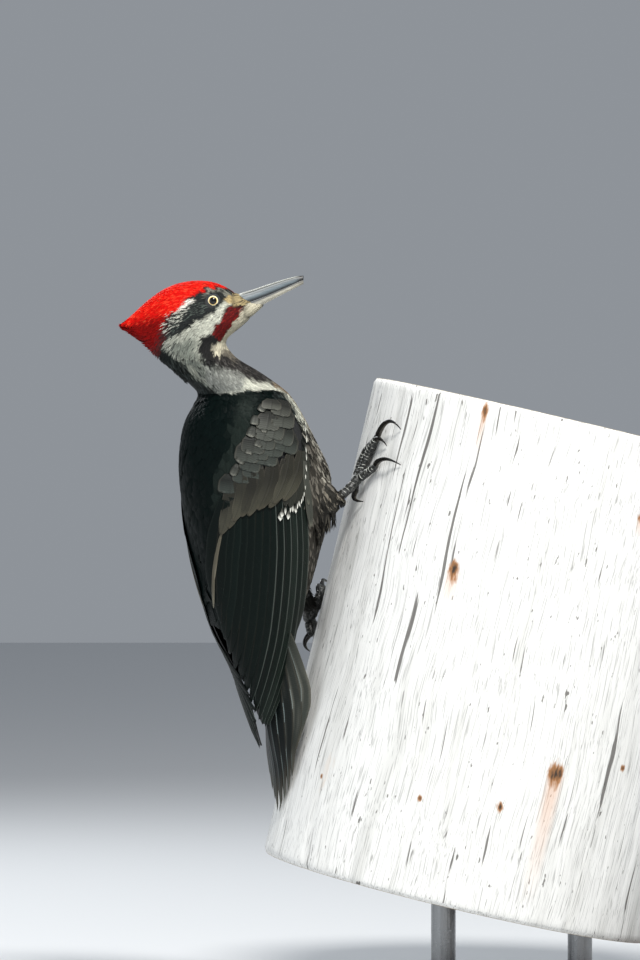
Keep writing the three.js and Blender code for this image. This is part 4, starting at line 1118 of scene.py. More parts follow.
def wing_coat(side):
    """Shell and feathers of one folded wing, on the side plan."""
    z = np.linspace(WING[0, 0] + 1.5, WING[-1, 0] - 1.5, 90)[:, None]
    share = np.linspace(0.03, 0.97, 40)
    shell = [wing_point(side, z, share[None], -0.5), wing_point(side, z, share[::-1][None], -1.4)]
    made, _, _ = material("wing_shell", linear(16, 17, 18))
    loft_piece(f"wing_shell_{side}", np.concatenate(shell, 1), made, flip=side == "left", node=f"wing_{side}",
               slot="plumage_wing")
    q = np.array([0, 0.08, 0.16, 0.24, 0.33, 0.42, 0.51, 0.60, 0.69, 0.78, 0.86, 0.93, 1.0])
    tip, base = flight_tips(q), np.stack([226 + 74 * q, 500 - 34 * q], -1)
    olive = smooth(0.45, 0.9, q)[:, None] * rng.uniform(0.1, 1, (len(q), 1))
    tint = linear(6, 15, 13) + (linear(24, 31, 27) - linear(6, 15, 13)) * olive
    for name, these, finish in (("inner_flight_feathers", q < 0.6, FLIGHT_FEATHER),
                                ("outer_flight_feathers", q > 0.59, EDGED_FEATHER)):
        r = q[these]
        blades(name, side, base[these], tip[these], 10.5 - 5.4 * r, (1.7 - 1.1 * r, 1.5 * (1 - r) + 0.1),
               tint[these], finish, bend=flight_bend(r), tilt=-0.25, strips=True)
    r = np.linspace(0.04, 0.97, 15)
    tip, base = flight_tips(r) + np.array([1.0, -3.5]), np.stack([228 + 70 * r, 520 - 30 * r], -1)
    blades("under_flight_feathers", side, base, tip, 8.5 - 4.4 * r, (0.1, -0.2), linear(7, 14, 13),
           FLIGHT_FEATHER, bend=flight_bend(r), thick=0.2, strips=True)
    # A pale grey line down the innermost tertial's edge.
    base, tip = np.array([(224, 530), (218, 552)]), np.array([(216.5, 580), (216, 608)])
    blades("worn_edge", side, base, tip, (1.6, 1.5), (2.0, 2.1), linear(80, 76, 64), bend=1.5,
           tip_tint=((112, 108, 94), 0.6), strips=True)
    q = np.linspace(0, 1, 10)
    tip = np.stack([223 + 58 * q, 534 - 33 * q - 5 * np.sin(math.pi * q)], -1)
    tip = tip + rng.normal(size=tip.shape) * 1.2
    blades("greater_coverts", side, tip + np.stack([6 + 12 * q, -46 - 4 * q], -1), tip, 6.6, (1.2, 2.7),
           linear(52, 51, 42), bend=-3.0, thick=0.22, tilt=-0.15, tip_tint=((64, 61, 50), 0.85), shade=0.26,
           strips=True, root_tone=0.4)
    tip = np.array([(284, 506), (289, 508), (294, 504), (298, 500), (301, 492)], float)
    blades("primary_coverts", side, tip + np.array([2, -40]), tip, 4.2, (1.5, 2.2), linear(36, 38, 32),
           bend=-1.5,
           thick=0.25, tilt=-0.2, strips=True)
    tip, wide = WHITE_MARKS[:, :2], WHITE_MARKS[:, 2]
    tip = tip + rng.normal(size=tip.shape) * (0.4, 0.8)
    back = np.stack([0 * wide + 1.2, np.where(tip[:, 1] < 495, -15, -11)], -1)
    blades("white_marks", side, tip + back + rng.normal(size=tip.shape) * (0.8, 2.0), tip, wide, (1.2, 2.9),
           linear(40, 40, 34), SOFT_FEATHER, kind="dart", section=SECTION_WIDE, thick=0.12, shade=0.12,
           tip_tint=((232, 232, 222), 0.25))
    base, tip = lattice(COVERT_AREA, (268, 429), (0.97, -0.22), (-0.16, 0.99), (13.5, 9.8))
    # Painted light: the upper small coverts lighter, where the light falls on them, and the lower ones
    # darker.
    low = smooth(430, 500, tip[:, 1] + 0.55 * (tip[:, 0] - 222))[:, None]
    tone = linear(73, 74, 68) * (1 - low) + linear(46, 51, 47) * low
    wide = np.clip((tip[:, 1] - 396) * 0.8, 6, 11.5) * rng.uniform(0.8, 1.12, len(tip))
    blades("small_coverts", side, base, tip, wide, (0.8, 1.6), tone, kind="broad", thick=0.07, tilt=-0.14,
           tip_tint=(tone * 1.25, 0.88), shade=0.13, root_tone=0.3)
    tip = PALE_TIPS[:, :2] + rng.normal(size=(len(PALE_TIPS), 2)) * 0.8
    blades("pale_tips", side, tip + PALE_TIPS[:, 2:4], tip, PALE_TIPS[:, 4], (0.8, 1.75), linear(62, 64, 59),
           kind="broad", section=SECTION_WIDE, thick=0.04, shade=0.15, tip_tint=((108, 108, 100), 0.8),
           root_tone=0.5)
    tip = np.array([(308.5, 527), (306, 505)], float)
    blades("edge_feathers", side, tip + np.array([(-4, -52), (-3, -44)]), tip, (3.3, 2.8), (1.9, 2.8),
           linear(58, 60, 54), tip_tint=((104, 104, 92), 0.85))


wing_coat("right")
wing_coat("left")


# ---------- tail ----------
# Height, middle depth towards the pole, droop of the sides.
TAIL = np.array([(304, 7, 10), (280, 6, 15), (250, 6.6, 19), (224, 8.4, 20), (204, 10.6, 17), (190, 13.4, 11),
                 (172, 17, 5), (142, 19.5, 2)], float)[::-1]
# Each pair of feathers, from the middle outwards: height of the tip, its place across, half width.
TAIL_FEATHERS = np.array([(141.5, 3, 6.2), (150, 7.6, 6.6), (157, 12.6, 6.6), (168, 17.4, 6.4),
                          (187, 22.4, 6)])
TAIL_REACH, TAIL_ROOT_Z = 38.0, 300.0
# Of each pair: how far its vane is painted a paler grey as a sheen, and how strongly its shaft is painted as
# a pale highlight line.
OUTER_SHEEN, SHAFT_HIGHLIGHT = (0.0, 0.02, 0.12, 0.55, 0.95), (0.3, 0.85, 0.75, 0.5, 0.3)  # of each pair


def pole_depth(y, z):
    """Depth at which the level line at y across and z up meets the pole."""
    start = from_trunk(0 * y, y, z)
    cross = -start[..., 0] * math.cos(POLE_LEAN) + (z - POLE_CENTRE[2]) * math.sin(POLE_LEAN)
    k, s = math.cos(TRUNK_TURN) * math.cos(POLE_LEAN), math.sin(TRUNK_TURN)
    a, b = k * k + s * s, start[..., 1] * s - cross * k
    d = cross**2 + start[..., 1] ** 2 - (POLE_RADIUS + 0.5) ** 2
    return (-b - np.sqrt(np.maximum(0, b * b - a * d))) / a


def tail_feathers():
    """Ten stiff feathers on the drooping tail, the middle pair outermost, each a closed vane with a thick
    shaft."""
    outline = np.linspace(0.02, 0.985, 44)[:, None]
    section = SECTION_BLADE
    t_all, cross = per_point(outline, section)
    up = np.r_[np.tile(section[:, 1], len(outline)), 0.0]
    black = linear(5, 11, 11)
    points, tints, vane, uv = [], [], [], []
    for layer, (tip_z, tip_y, half) in enumerate(TAIL_FEATHERS):
        for sign in (-1, 1):
            z = TAIL_ROOT_Z + (tip_z - TAIL_ROOT_Z) * t_all
            root_y = 2 + 1.6 * layer
            y = (root_y + (tip_y + 1.8 * layer - root_y) * np.sin(math.pi / 2 * np.minimum(1, 1.25 * t_all))
                 - 1.8 * layer * np.maximum(0, t_all - 0.6) / 0.4)
            wide = half * np.minimum(1, 0.5 + 1.6 * t_all) * np.minimum(1, 3.4 * (1 - t_all)) ** 0.7
            notch = 1.0 + 0.10 * np.sin(cross * 9 + layer) * (t_all > 0.9)
            y = sign * y + cross * wide * notch
            droop = along(TAIL, 2, z) * (np.abs(y) / TAIL_REACH) ** 1.5
            depth = np.minimum(along(TAIL, 1, z) + droop + 0.55 * layer,
                               pole_depth(y, z) - 1.3 - (4 - layer) * 0.12)
            depth = depth - 0.55 * up * (0.4 + 0.6 * wide / half) - 0.25
            points.append(from_trunk(depth, y, z))
            # Painted sheen: the outer pairs paler grey, and a pale streak along the middle of the outer
            # vanes; the tips worn brown; the shaft a painted pale highlight line.
            base = black + (linear(54, 57, 52) - black) * OUTER_SHEEN[layer]
            worn = smooth(0.78, 0.97, t_all)[:, None] * (linear(84, 80, 70) - base)
            streak = ripple(np.stack([cross * 5, t_all * 2.5 + layer, 0 * cross], -1), 3.0, 31)
            pale = smooth(0.35, 0.55, t_all) * smooth(0.85, 0.6, t_all) * smooth(0.1, 0.9,
                                                                                 streak) * (layer > 1)
            shaft = ((np.abs(cross) < 0.05) * (up > 0) * SHAFT_HIGHLIGHT[layer])[:, None]
            tints.append((base + 0.6 * worn) * (1 - shaft) + shaft * linear(150, 168, 168)
                         + 0.8 * pale[:, None] * (linear(92, 92, 84) - base))
            vane.append(np.stack([cross, t_all * 160, 0 * t_all + rng.uniform()], -1))
            uv.append(np.stack([(2 * layer + (sign > 0) + 0.5 + 0.46 * cross) / 10, t_all], -1))
    faces = flipped(tuft_faces(2 * len(TAIL_FEATHERS), len(outline), len(section)))
    mesh_piece("tail_feathers", np.vstack(points), faces, TAIL_FEATHER, node="tail", slot="plumage_wing",
               uv=np.vstack(uv), tint=np.vstack(tints), vane=np.vstack(vane))


tail_feathers()


# ---------- bill and eyes ----------
def bill_half(name, upper, around=48, rings=90):
    """Half of the bill: y = half width * cos^0.9, height = mouth line + (ridge - mouth line) * sin^0.8 over
    half a turn, or to the keel with sin^0.95. The upper half has a crease down each side. A flat face closes
    each half, and the colours run from the edge of the mouth to the ridge or keel."""
    x = np.linspace(BILL[0, 0], BILL[-1, 0], rings)[:, None]
    ridge, mouth, keel, wide = (along(BILL, k, x) for k in (1, 2, 3, 4))
    turn = np.linspace(0, math.pi, around)[None]
    goal, sign = (ridge, 1) if upper else (keel, -1)
    crease = 0.05 * bump_at(np.abs(turn - math.pi / 2), 0.75, 0.13) if upper else 0
    y = wide * np.sign(np.cos(turn)) * np.abs(np.cos(turn)) ** 0.9 * (1 + crease)
    z = mouth + sign * 0.12 + (goal - mouth) * np.sin(turn) ** (0.8 if upper else 0.95) * (1 + crease * 0.6)
    flat = np.linspace(-1, 1, 14)[1:-1][None]
    y = np.concatenate([y, wide * flat], 1)
    z = np.concatenate([z, mouth + sign * 0.12 + 0 * flat], 1)
    ring = np.stack([np.broadcast_to(x, y.shape), HEAD_Y + y, z], -1)
    up = np.clip((z - mouth) / (goal - mouth), 0, 1)[..., None]
    run = ((x - BILL[0, 0]) / (BILL[-1, 0] - BILL[0, 0]) * np.ones(y.shape))[..., None]
    if upper:
        # Painted highlight: the upper half pale towards its ridge, where the light falls along the culmen.
        tint = shaded((92, 104, 110), (180, 182, 174), smooth(0.62, 0.95, up))
        tint = shaded(tint, (40, 42, 46), bump_at(up, 0.62, 0.05) * smooth(0.05, 0.3, run) * 0.75)
        tint = shaded(tint, (44, 46, 48), bump_at(up, 0.84, 0.07) * smooth(0.12, 0.25, run) * 0.9)
        tint = shaded(tint, (26, 27, 29), smooth(0.34, 0.1, up) * 0.85)
        tint = shaded(tint, (26, 25, 25), smooth(0.88, 0.96, run) * 0.92)
    else:
        tint = shaded((96, 98, 98), (198, 194, 178), smooth(0.12, 0.5, up))
        tint = shaded(tint, (120, 118, 110), smooth(0.8, 1.0, run) * 0.7)
    loft_piece(name, ring, HORN, flip=not upper, node=name, slot="horn" if upper else "horn_pale", tint=tint)


HORN = horn_material("horn", 0.42)
bill_half("bill_upper", True)
bill_half("bill_lower", False)


def eye(side):
    """Eyeball with pupil, iris and a low cornea, and the two lids as one dark rim round it."""
    sign = -1 if side == "right" else 1
    centre = EYE + np.array([0, sign * EYE_SIDE, 0])
    polar = np.r_[np.linspace(0.01, 1.0, 60), np.linspace(1.03, 3.13, 24)][:, None]
    turn = np.linspace(0, 2 * math.pi, 64, endpoint=False)[None]
    radius = EYE_RADIUS * (1 + 0.035 * smooth(0.62, 0.0, polar))
    out = np.sin(polar) * radius
    ball = np.stack([centre[0] + out * np.cos(turn), centre[1] + sign * radius * np.cos(polar) + 0 * turn,
                     centre[2] + out * np.sin(turn)], -1)
    from_axis = (out + 0 * turn)[..., None]
    ray = ripple(np.stack([12 * np.cos(turn) + 0 * out, 12 * np.sin(turn) + 0 * out, 0.4 * out + 0 * turn],
                          -1), 3.0, 5)
    tint = shaded((232, 186, 96), (238, 226, 186),
                  smooth(2.75, 3.15, from_axis)) * (1 + 0.10 * ray[..., None])
    tint = shaded(tint, (20, 18, 17), smooth(3.5, 3.8, from_axis))
    tint = shaded(tint, (3, 3, 3), smooth(2.72, 2.6, from_axis))
    made, tree, shader = material("eye_ball", roughness=0.3, Specular_IOR_Level=0.1, Coat_Weight=0.7,
                                  Coat_Roughness=0.02)
    tree.links.new(attribute(tree, "tint", "Color"), shader.inputs["Base Color"])
    loft_piece(f"eye_{side}", ball, made, flip=sign < 0, node=f"eye_{side}", slot="eye", tint=tint)
    around = np.linspace(0, 2 * math.pi, 96, endpoint=False)[:, None]
    tube = np.linspace(0, 2 * math.pi, 20, endpoint=False)[None]
    major = 4.35 + 0.12 * np.cos(2 * around - 0.6)
    thick = 0.72 + 0.08 * np.sin(9 * around) * 0.4 + 0.10 * np.cos(around - 0.9)
    ring_out = major + thick * np.cos(tube) * 1.15
    rise = 3.1 + thick * np.sin(tube) * 0.9
    rim = np.stack([centre[0] + ring_out * np.cos(around), centre[1] + sign * rise + 0 * around,
                    centre[2] + ring_out * np.sin(around)], -1)
    rings, count, _ = rim.shape
    faces = [ring_faces(rings + 1, count) % (rings * count)]
    finish, tree, shader = material("eyelid", roughness=0.6, Specular_IOR_Level=0.2)
    cells = texture(tree, "Voronoi", Scale=2400.0)
    grey = ramp(tree, cells, (0.0, linear(24, 26, 28)), (0.8, linear(58, 62, 66)))
    tree.links.new(grey, shader.inputs["Base Color"])
    bump(tree, shader, cells, 0.5, 0.0002)
    mesh_piece(f"eyelid_{side}", rim.reshape(-1, 3), flipped(faces) if sign < 0 else faces, finish,
               slot="eye")


eye("right")
eye("left")


# ---------- legs ----------
def from_pole(x, y, height):
    """Points from the pole's own axes."""
    x, z = turned(x, height, POLE_LEAN)
    return np.stack([x, y, z], -1) + POLE_CENTRE


def on_pole(angle, height, lift):
    """Points at lift over the pole's face, at an angle in degrees from its left side and a height along
    it."""
    reach, turn = POLE_RADIUS + lift, np.radians(angle)
    return from_pole(-np.cos(turn) * reach, -np.sin(turn) * reach, height)


# On the pole: angle, height, lift and radius at points down each part.
LEGS = {
    "right": {
        "tarsus": [(22.7, 88.6, 16.6, 3.6), (22.8, 95.4, 11.4, 3.4), (22.4, 103.4, 6.6, 4)],
        "toe3": [(22.4, 107.6, 5.6, 3.2), (22.4, 117.9, 4, 3.2), (24.2, 128, 3.6, 3), (26, 136.4, 3.2, 2.6)],
        "toe2": [(20, 106.6, 5.4, 2.9), (18.8, 114.8, 3.8, 2.8), (20.2, 123.8, 3.4, 2.6),
                 (23.4, 131, 3, 2.3)],
        "toe4": [(23.6, 105, 5.6, 3), (25.4, 108.6, 4.2, 2.8), (27.2, 111.8, 3.6, 2.7),
                 (29, 115.4, 3.2, 2.4)],
        "toe1": [(20.8, 100, 5.6, 2.6), (19, 96.4, 3.6, 2.4), (19.5, 93, 2.6, 2.1)],
        "claws": {"3": [(32.6, 156, 11), (35.6, 144.2, 0.6)], "2": [(29, 138.6, 7), (30.6, 130.4, 0.6)],
                  "4": [(33, 125, 9), (39.3, 119.4, 0.6)], "1": [(20.6, 85.4, 7), (24.3, 87.9, 0.6)]},
    },
    "left": {
        "tarsus": [(1.4, 12.2, 14, 3.6), (-2, 2.6, 10, 3.4), (-4.8, -5.6, 6.4, 4)],
        "toe3": [(-5.6, -1.2, 5.6, 3.2), (-6.6, 6.4, 4, 3.2), (-8, 13.6, 3.6, 3), (-9.4, 19.6, 3.2, 2.6)],
        "toe2": [(-3.2, -2, 5.4, 2.9), (-1.6, 4.6, 3.9, 2.8), (-1, 10.6, 3.4, 2.6), (-1.4, 15.6, 3, 2.3)],
        "toe4": [(-6.4, -6.6, 5.6, 3), (-10.6, -9.6, 4.2, 2.8), (-14.4, -13.6, 3.6, 2.7),
                 (-17, -19, 3.2, 2.4)],
        "toe1": [(-4.2, -9.8, 5.4, 2.6), (-3.6, -13.6, 3.6, 2.4), (-3.4, -17, 2.6, 2.1)],
        "claws": {"3": [(-11, 28.4, 9), (-14.4, 22.4, 0.6)], "2": [(-2.6, 23.6, 9), (-5.6, 19.4, 0.6)],
                  "4": [(-19.6, -26, 9), (-22.6, -22.6, 0.6)], "1": [(-3, -25.4, 9), (-4.6, -28.4, 0.6)]},
    },
}


def tube_grid(path, radius, up, around, relief=0.0, tall=1.0, wide=1.0):
    """Rings round a path: radius plus relief in the plane of the path's sideways and upward directions."""
    tangent = unit(np.gradient(path, axis=0))
    right = unit(np.cross(tangent, up))
    rays = spokes(tall * np.cross(right, tangent), wide * right, around)
    return path[:, None] + (radius[:, None] + relief)[..., None] * rays


def scaled_limb(name, rows, side, scute, start=None):
    """A leg part: a tube with rounded ends, swollen joints and a saw-toothed row of scutes every scute mm
    along its upper side; start is the point of the part before it that it grows out of. Returns its
    points."""
    rows = np.array(rows, float)
    points = on_pole(*rows[:, :3].T)
    outward = unit(points - (POLE_CENTRE + np.outer((points - POLE_CENTRE) @ POLE_WAY, POLE_WAY)))
    stout, pale_edge_and_glint = LEG_LOOK[side]
    radius = rows[:, 3] * stout
    if start is not None:
        points, outward = np.vstack([start, points]), np.vstack([outward[:1], outward])
        radius = np.r_[radius[0] * 0.95, radius]
    at = np.r_[0, np.cumsum(np.linalg.norm(np.diff(points, axis=0), axis=1))]
    keyed = np.c_[at, points, radius, outward]
    run = np.linspace(-1.6, at[-1] + 1.2, max(60, int(at[-1] / 0.16)))
    path = np.stack([along(keyed, k, run) for k in (1, 2, 3)], -1)
    path += (np.minimum(run, 0)[:, None] * unit(points[1] - points[0])
             + np.maximum(run - at[-1], 0)[:, None] * unit(points[-1] - points[-2]))
    thick = along(keyed, 4, run) * 0.98
    joint = np.abs(run[:, None] - at[None, 1:-1]).min(1) if len(at) > 2 else 9 + 0 * run
    thick *= 1 + 0.07 * bump_at(joint, 0, 1.8) - 0.05 * bump_at(joint, 4, 2.0)
    thick *= rounded_end(np.minimum(run + 1.6, at[-1] + 1.2 - run) / 2.6, 0.02)
    up = unit(np.stack([along(keyed, k, run) for k in (5, 6, 7)], -1))
    turn = np.linspace(0, 2 * math.pi, LIMB_SIDES, endpoint=False)[None]
    upper = smooth(-0.1, 0.45, np.cos(turn))
    tooth = ((run[:, None] + 0.5 * np.cos(turn)) / scute) % 1.0
    pads = np.sin(turn * 9 + 2.0 * np.floor(run[:, None] / 1.1)) * np.sin(run[:, None] * 5.7)
    relief = 0.30 * (tooth - 0.5) * upper + 0.16 * pads * (1 - upper)
    grid = tube_grid(path, thick, up, LIMB_SIDES, relief)
    # The scutes' edges on the upper side painted pale: partly their own paler edges, partly a painted
    # highlight where the light catches them.
    rim = (smooth(0.13, 0.03, tooth) + smooth(0.95, 1.0, tooth)) * upper
    pale = np.clip(rim + 0.12 * (1 - upper) * smooth(0.3, 0.8, pads), 0, 1)
    pale = pale * smooth(-0.5, 0.5, ripple(grid, 5.5, 12)) * pale_edge_and_glint
    tint = shaded((13, 16, 15), (206, 208, 200), pale[..., None])
    loft_piece(name, grid, SCALES, node=name, slot="foot_scale", tint=tint)
    return points


def claw(name, root, way, hump, tip):
    """Quadratic curve from inside the toe's end over the hump to the tip, tapering as t^1.25, deeper than
    wide."""
    t = np.linspace(0, 1, 64)
    start = root - way * 3.4
    path = (((1 - t) ** 2)[:, None] * start + (2 * t * (1 - t))[:, None] * hump + (t**2)[:, None] * tip)
    radius = (2.0 + (0.28 - 2.0) * t**1.25) * rounded_end(t / 0.06, 0.05)
    grid = tube_grid(path, radius, unit(hump - (start + tip) / 2), CLAW_SIDES, tall=1.2, wide=0.8)
    below = smooth(-0.2, -0.9, np.cos(np.linspace(0, 2 * math.pi, CLAW_SIDES, endpoint=False)))[:, None]
    tint = np.broadcast_to(shaded((20, 19, 18), (84, 80, 72), below), grid.shape)
    loft_piece(name, grid, CLAW, node=name, slot="claw_horn", tint=tint)


def scale_material():
    """Horny scales: the mesh's tint with pale seams between fine cells."""
    made, tree, shader = material("foot_scales", roughness=0.42)
    cells = texture(tree, "Voronoi", Scale=300.0, feature="DISTANCE_TO_EDGE")
    seams = ramp(tree, cells, (0.0, 0.35), (0.05, 0.0))
    tint = mix(tree, seams, attribute(tree, "tint", "Color"), linear(150, 150, 144))
    tree.links.new(tint, shader.inputs["Base Color"])
    bump(tree, shader, cells, 0.5, 0.0004)
    return made


POLE_WAY = np.array([math.sin(POLE_LEAN), 0, math.cos(POLE_LEAN)])
LIMB_SIDES, CLAW_SIDES = 44, 28
# The pale of the scales' edges is partly their own colour and partly a painted highlight.
LEG_LOOK = {"right": (1.0, 0.9), "left": (1.2, 0.35)}  # how stout a leg is and how pale its scales' edges are
SCALES = scale_material()
CLAW = horn_material("claw_horn", 0.22)
for side, parts in LEGS.items():
    ankle = scaled_limb(f"tarsus_{side}", parts["tarsus"], side, 3.0)[-1]
    for toe, (hump, tip) in parts["claws"].items():
        points = scaled_limb(f"toe{toe}_{side}", parts[f"toe{toe}"], side, 2.6, ankle)
        way = unit(points[-1] - points[-2])
        claw(f"claw{toe}_{side}", points[-1] + way * 1.9, way, on_pole(*hump), on_pole(*tip))


def leg_tufts(side, count=260):
    """Small feathers round the top of a tarsus, from the thigh's end to two fifths of the way down it."""
    ends = THIGHS[side][-2:]
    joint = on_pole(*np.array(LEGS[side]["tarsus"], float)[:, :3].T)
    start, goal = ends[0, :3], 0.6 * joint[0] + 0.4 * joint[1]
    way = unit(goal - start)
    right = unit(np.cross(way, [0, 0, 1.0]))
    share, turn = rng.uniform(0, 1, count), rng.uniform(0, 2 * math.pi, count)
    normal = right * np.cos(turn)[:, None] + np.cross(right, way) * np.sin(turn)[:, None]
    reach = ends[0, 3] * 0.8 + (3.4 - ends[0, 3] * 0.8) * share**0.7
    root = start + (goal - start) * share[:, None] + normal * reach[:, None]
    place = np.stack([turn / (2 * math.pi), share], -1)
    coat(f"leg_tufts_{side}", root, normal, place, linear(30, 30, 27), (way, 10.0, 2.4, 0.6), shade=0.3,
         stiff=1.0,
         rise=0.12)


leg_tufts("left")


# ---------- pole and stand ----------
def pole():
    """Round pole on its own axis, with softly rounded rims, split by long cracks that follow the grain."""
    around, rings = 360, 110
    turn = np.linspace(0, 2 * math.pi, around, endpoint=False)[None]
    height = np.linspace(-POLE_LENGTH / 2, POLE_LENGTH / 2, rings)[:, None]
    x, y = np.cos(turn) * POLE_RADIUS, np.sin(turn) * POLE_RADIUS
    wander = np.stack(np.broadcast_arrays(x / 3.2, y / 3.2, height / 90), -1)
    crack = np.clip(ripple(wander, 3.0, 8) * 1.6 - 1.05, 0, 1) ** 0.7
    swell = 0.35 * ripple(np.stack(np.broadcast_arrays(x, y, height / 4), -1), 60.0, 9)
    edge = POLE_LENGTH / 2 - np.abs(height)
    rim = 1.6 * (1 - rounded_end(edge / 1.6, 0))
    radius = POLE_RADIUS - 0.35 - 0.9 * crack + swell * 0.4 - rim
    side = np.stack(np.broadcast_arrays(radius * np.cos(turn), radius * np.sin(turn), height), -1)
    share = np.linspace(0.985, 0.004, 60)[:, None]
    low, high = side[:1] * np.array([1, 1, 0]), side[-1:] * np.array([1, 1, 0])
    top = high * share[..., None] + np.array([0, 0, POLE_LENGTH / 2])
    bottom = low * share[::-1, :, None] - np.array([0, 0, POLE_LENGTH / 2])
    own = np.concatenate([bottom, side, top], 0)
    loft_piece("perch_pole", from_pole(*np.moveaxis(own, -1, 0)), WOOD, node="perch_pole", slot="pole_timber",
               vane=own * 0.001)


def plan_to_pole(a, b):
    """Point in the pole's own axes, of its face on the bird's right side, seen at a place on the side
    plan."""
    across, height = turned((a - PLAN_A) * SCALE, (PLAN_B - b) * SCALE - POLE_CENTRE[2], -POLE_LEAN)
    return np.array([across, -math.sqrt(max(POLE_RADIUS**2 - across**2, 0)), height])


# Knots: place on the side plan, or in the pole's own axes where out of its sight, half width, half height,
# length of the stain under it.
KNOTS = [((451, 570), 5.0, 10.0, 26), ((552, 770), 6.5, 11.0, 95), ((497, 801), 3.4, 4.5, 0),
         ((482, 412), 3.0, 9.0, 34), ((418, 793), 2.4, 3.2, 0), ((321, 775), 2.0, 2.6, 0),
         ((620, 765), 2.6, 3.2, 0), ((637, 518), 3.4, 4.4, 14), ((139.0, 41.0, 60.0), 5.5, 9.0, 30),
         ((60.0, 132.0, -70.0), 5.0, 8.0, 40)]


def knot(tree, tint, where, wobble, place, wide, tall, streak):
    """The colour tint with a dark knot in a brown ring at a place in the pole's own axes, and its stain
    below."""
    away = node(tree, "ShaderNodeVectorMath", operation="SUBTRACT")
    tree.links.new(where, away.inputs[0])
    away.inputs[1].default_value = place * 0.001
    x, y, z = split(tree, away.outputs[0])
    flat = hypot(tree, x, y)
    gap = hypot(tree, maths(tree, "DIVIDE", flat, wide * 0.001), maths(tree, "DIVIDE", z, tall * 0.001))
    gap = maths(tree, "ADD", gap, wobble)
    if streak:
        down = maths(tree, "DIVIDE", maths(tree, "MULTIPLY", z, -1.0), streak * 0.001)
        drop = maths(tree, "MULTIPLY", maths(tree, "LESS_THAN", z, 0.0),
                     ramp(tree, down, (0.0, 1.0), (1.0, 0.0)))
        side = ramp(tree, maths(tree, "DIVIDE", flat, wide * 0.0012), (0.3, 1.0), (1.0, 0.0))
        trail = maths(tree, "MULTIPLY", drop, side)
        tint = mix(tree, maths(tree, "MULTIPLY", trail, 0.5), tint, linear(204, 140, 84))
    tint = mix(tree, ramp(tree, gap, (0.55, 1.0), (1.0, 0.0)), tint, linear(160, 112, 70))
    return mix(tree, ramp(tree, gap, (0.15, 1.0), (0.6, 0.0)), tint, linear(56, 46, 38))


def wood_material():
    """Sun-bleached timber: pale grey-white with fine lines along the grain, dark checks, stains and knots,
    and rings on the sawn ends. The vane attribute holds the place in the pole's own axes in metres."""
    made, tree, shader = material("bleached_timber", roughness=0.85)
    where = attribute(tree, "vane")
    sway = node(tree, "ShaderNodeTexNoise", Scale=7.0, Detail=2.0)
    tree.links.new(where, sway.inputs["Vector"])
    bent = node(tree, "ShaderNodeVectorMath", operation="MULTIPLY_ADD")
    tree.links.new(sway.outputs["Color"], bent.inputs[0])
    bent.inputs[1].default_value = (0.02, 0.02, 0.0)
    tree.links.new(where, bent.inputs[2])

    def along_grain(scale, across, detail, shift=0.0):
        return texture(tree, where=bent.outputs[0], stretch=(across, across, scale), shift=shift,
                       Detail=detail)

    fine, broad = along_grain(30, 1250, 5.0), along_grain(5, 60, 4.0, 3.0)
    nicks = along_grain(110, 380, 2.0, 11.0)
    tint = ramp(tree, broad, (0.25, linear(204, 204, 200)), (0.5, linear(229, 229, 226)))
    tint = mix(tree, 1.0, tint, ramp(tree, fine, (0.34, 0.6), (0.48, 1.0)), "MULTIPLY")
    dark = ramp(tree, along_grain(5.5, 210, 3.0, 8.0), (0.665, 0.0), (0.69, 1.0))
    split_line = ramp(tree, along_grain(34, 420, 2.0, 21.0), (0.70, 0.0), (0.73, 1.0))
    stain = ramp(tree, along_grain(14, 30, 5.0, 5.0), (0.70, 0.0), (0.78, 1.0))
    nick = ramp(tree, nicks, (0.70, 0.0), (0.73, 1.0))
    for mark, share, colour in ((dark, 0.85, (74, 70, 66)), (split_line, 0.6, (96, 94, 92)),
                                (stain, 0.35, (206, 160, 112)), (nick, 0.8, (70, 66, 60))):
        tint = mix(tree, maths(tree, "MULTIPLY", mark, share), tint, linear(*colour))
    wobble = maths(tree, "MULTIPLY", maths(tree, "SUBTRACT", nicks, 0.5), 1.6)
    for place, *sizes in KNOTS:
        place = plan_to_pole(*place) if len(place) == 2 else np.array(place)
        tint = knot(tree, tint, where, wobble, place, *sizes)
    x, y, z = split(tree, where)
    end = maths(tree, "GREATER_THAN", maths(tree, "ABSOLUTE", z), POLE_LENGTH * 0.0005 - 0.0003)
    warped = maths(tree, "MULTIPLY_ADD", broad, 0.012, hypot(tree, x, y))
    growth = maths(tree, "SINE", maths(tree, "MULTIPLY", warped, 2600.0))
    rings = ramp(tree, maths(tree, "MULTIPLY_ADD", growth, 0.5, 0.5), (0.0, linear(150, 138, 118)),
                 (1.0, linear(196, 188, 170)))
    tree.links.new(mix(tree, end, tint, rings), shader.inputs["Base Color"])
    bump(tree, shader, maths(tree, "SUBTRACT", fine, maths(tree, "MULTIPLY", dark, 1.4)), 0.5, 0.0006)
    return made


def stand():
    """Finishes of the stand's solids, which are shown as they are: dark board and brushed steel."""
    board, tree, shader = material("base_board", roughness=0.45)
    grain = texture(tree, stretch=(6, 120, 40), Detail=5.0)
    tree.links.new(ramp(tree, grain, (0.3, linear(52, 38, 28)), (0.7, linear(92, 68, 48))),
                   shader.inputs["Base Color"])
    bump(tree, shader, grain, 0.15, 0.0003)
    steel, tree, shader = material("rod_steel", linear(150, 152, 154), metallic=1.0)
    brushed = texture(tree, Scale=900.0, Detail=2.0)
    tree.links.new(ramp(tree, brushed, (0.3, 0.26), (0.7, 0.42)), shader.inputs["Roughness"])
    for name, finish in (("stand_base", board), ("stand_rod_left", steel), ("stand_rod_right", steel)):
        shown = bpy.data.objects[name]
        shown.data.materials.clear()
        shown.data.materials.append(finish)


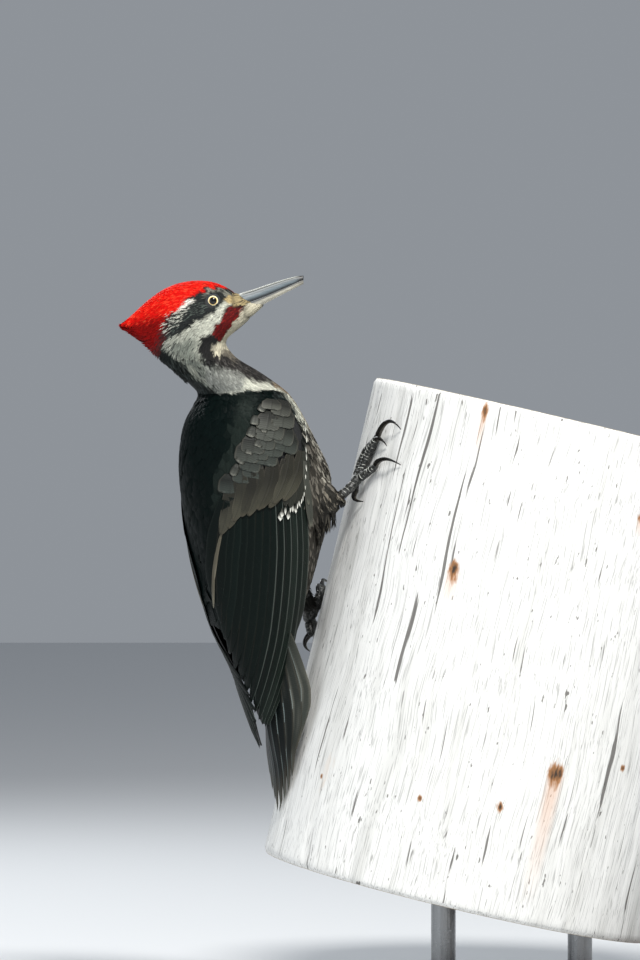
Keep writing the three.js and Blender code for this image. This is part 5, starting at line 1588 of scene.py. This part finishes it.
WOOD = wood_material()
pole()
stand()


# ---------- room ----------
CAMERA_REACH = 4.0  # metres from the bird's middle plane
LIGHTS = {"key": ((0.35, -1.9, 2.6), 0.6, 122, (1.0, 0.98, 0.95)),
          "fill": ((-2.0, -1.4, 0.9), 1.6, 10, (0.9, 0.95, 1.0)),
          "rim": ((-1.1, 1.6, 1.6), 1.0, 22, (0.95, 0.98, 1.0))}  # place, size, power and colour


def room():
    """Pale floor, soft studio light and the camera on the bird's right side."""
    scene = bpy.context.scene
    made, _, _ = material("floor_pale", linear(214, 216, 218), 0.8)
    corners = [(-6000, -6000, -0.5), (6000, -6000, -0.5), (6000, 9000, -0.5), (-6000, 9000, -0.5)]
    floor = mesh_piece("floor", np.array(corners), np.array([[0, 1, 2, 3]]), made)
    scene.world = bpy.data.worlds.new("studio")
    scene.world.use_nodes = True
    sky = scene.world.node_tree.nodes["Background"]
    sky.inputs[0].default_value, sky.inputs[1].default_value = (0.80, 0.86, 0.94, 1), 0.34
    scene.view_settings.view_transform = "Standard"
    for name, (place, size, power, colour) in LIGHTS.items():
        lamp = bpy.data.lights.new(name, "AREA")
        lamp.shape, lamp.size, lamp.energy, lamp.color = "DISK", size, power, colour
        thing = bpy.data.objects.new(name, lamp)
        thing.location = place
        aim = Vector((-0.15, -0.05, 0.36)) - Vector(place)
        thing.rotation_euler = aim.to_track_quat("-Z", "Y").to_euler()
        scene.collection.objects.link(thing)
    camera = bpy.data.objects.new("camera", bpy.data.cameras.new("camera"))
    camera.data.sensor_width, camera.data.clip_end = 36.0, 60
    camera.data.lens = camera.data.sensor_width * CAMERA_REACH / (PLAN_SIZE[1] * SCALE * 0.001)
    camera.location = ((PLAN_SIZE[0] / 2 - PLAN_A) * SCALE * 0.001, HEAD_Y * 0.001 - CAMERA_REACH,
                       (PLAN_B - PLAN_SIZE[1] / 2) * SCALE * 0.001)
    camera.rotation_euler = (math.pi / 2, 0, 0)
    scene.collection.objects.link(camera)
    scene.camera = camera


room()
